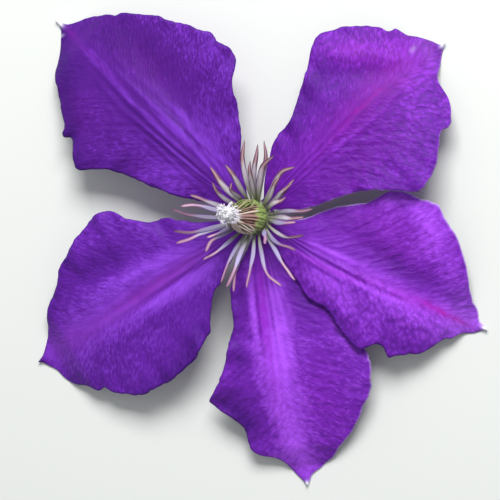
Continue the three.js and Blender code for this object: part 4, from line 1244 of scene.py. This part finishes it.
def set_camera(scene, stage):
    view = Vector((-math.sin(stage.tilt), 0, -math.cos(stage.tilt)))
    right = Vector((math.cos(stage.tilt), 0, -math.sin(stage.tilt)))
    up = Vector((0, 1, 0))
    shown = Vector((AXIS.x, AXIS.y, SEPAL_LEVEL * MM))
    target = shown - AXIS_PIXELS_RIGHT * stage.pixel * right - AXIS_PIXELS_UP * stage.pixel * up
    data = bpy.data.cameras.new("camera")
    data.sensor_width = SENSOR_WIDTH
    data.lens = data.sensor_width * stage.distance / (FRAME_PIXELS * stage.pixel)
    camera = bpy.data.objects.new("camera", data)
    camera.location = target - stage.distance * view
    camera.rotation_euler = Matrix((right, up, -view)).transposed().to_euler()
    scene.collection.objects.link(camera)
    scene.camera = camera


def set_light(scene, stage):
    light = bpy.data.lights.new("soft_panel", "AREA")
    light.shape = "RECTANGLE"
    light.size, light.size_y = PANEL_SIZE
    light.energy = stage.light_power
    panel = bpy.data.objects.new("soft_panel", light)
    panel.location = PANEL_PLACE
    panel.rotation_euler = (-panel.location).to_track_quat("-Z", "Y").to_euler()
    scene.collection.objects.link(panel)
    world = bpy.data.worlds.new("soft_sky")
    world.use_nodes = True
    world.node_tree.nodes["Background"].inputs["Color"].default_value = SKY_TINT
    world.node_tree.nodes["Background"].inputs["Strength"].default_value = stage.sky
    scene.world = world
    scene.view_settings.view_transform = "Standard"


class CLEMATIS_OT_stage(bpy.types.Operator):
    """Lays the floor and sets the light and the camera"""

    bl_idname = "clematis.stage"
    bl_label = "Stage"

    def execute(self, context):
        stage = context.scene.clematis_stage
        lay_floor(context.scene, stage.floor)
        set_camera(context.scene, stage)
        set_light(context.scene, stage)
        return {"FINISHED"}


class CLEMATIS_PT_pieces(bpy.types.Panel):
    """Lists the pieces of the blossom with their settings"""

    bl_idname = "CLEMATIS_PT_pieces"
    bl_label = "Clematis blossom"
    bl_space_type = "VIEW_3D"
    bl_region_type = "UI"
    bl_category = "Clematis"

    def draw(self, context):
        for step in STEPS:
            self.layout.operator(step.bl_idname)
        for key in GROUPS:
            group = getattr(context.scene, key)
            box = self.layout.box()
            for name in group.__annotations__:
                box.prop(group, name)


STEPS = [CLEMATIS_OT_sepals, CLEMATIS_OT_receptacle, CLEMATIS_OT_stamens, CLEMATIS_OT_pistils,
         CLEMATIS_OT_stigmas, CLEMATIS_OT_stage]
GROUPS = {"clematis_sepals": CLEMATIS_PG_sepals, "clematis_heart": CLEMATIS_PG_heart,
          "clematis_stage": CLEMATIS_PG_stage}
CLASSES = [*GROUPS.values(), *STEPS, CLEMATIS_PT_pieces]


def register():
    for cls in CLASSES:
        bpy.utils.register_class(cls)
    for key, group in GROUPS.items():
        setattr(bpy.types.Scene, key, bpy.props.PointerProperty(type=group))


def unregister():
    for key in GROUPS:
        delattr(bpy.types.Scene, key)
    for cls in reversed(CLASSES):
        bpy.utils.unregister_class(cls)


def main():
    register()
    bpy.ops.clematis.sepals()
    bpy.ops.clematis.receptacle()
    bpy.ops.clematis.stamens()
    bpy.ops.clematis.pistils()
    bpy.ops.clematis.stigmas()
    bpy.ops.clematis.stage()


if __name__ == "__main__":
    main()
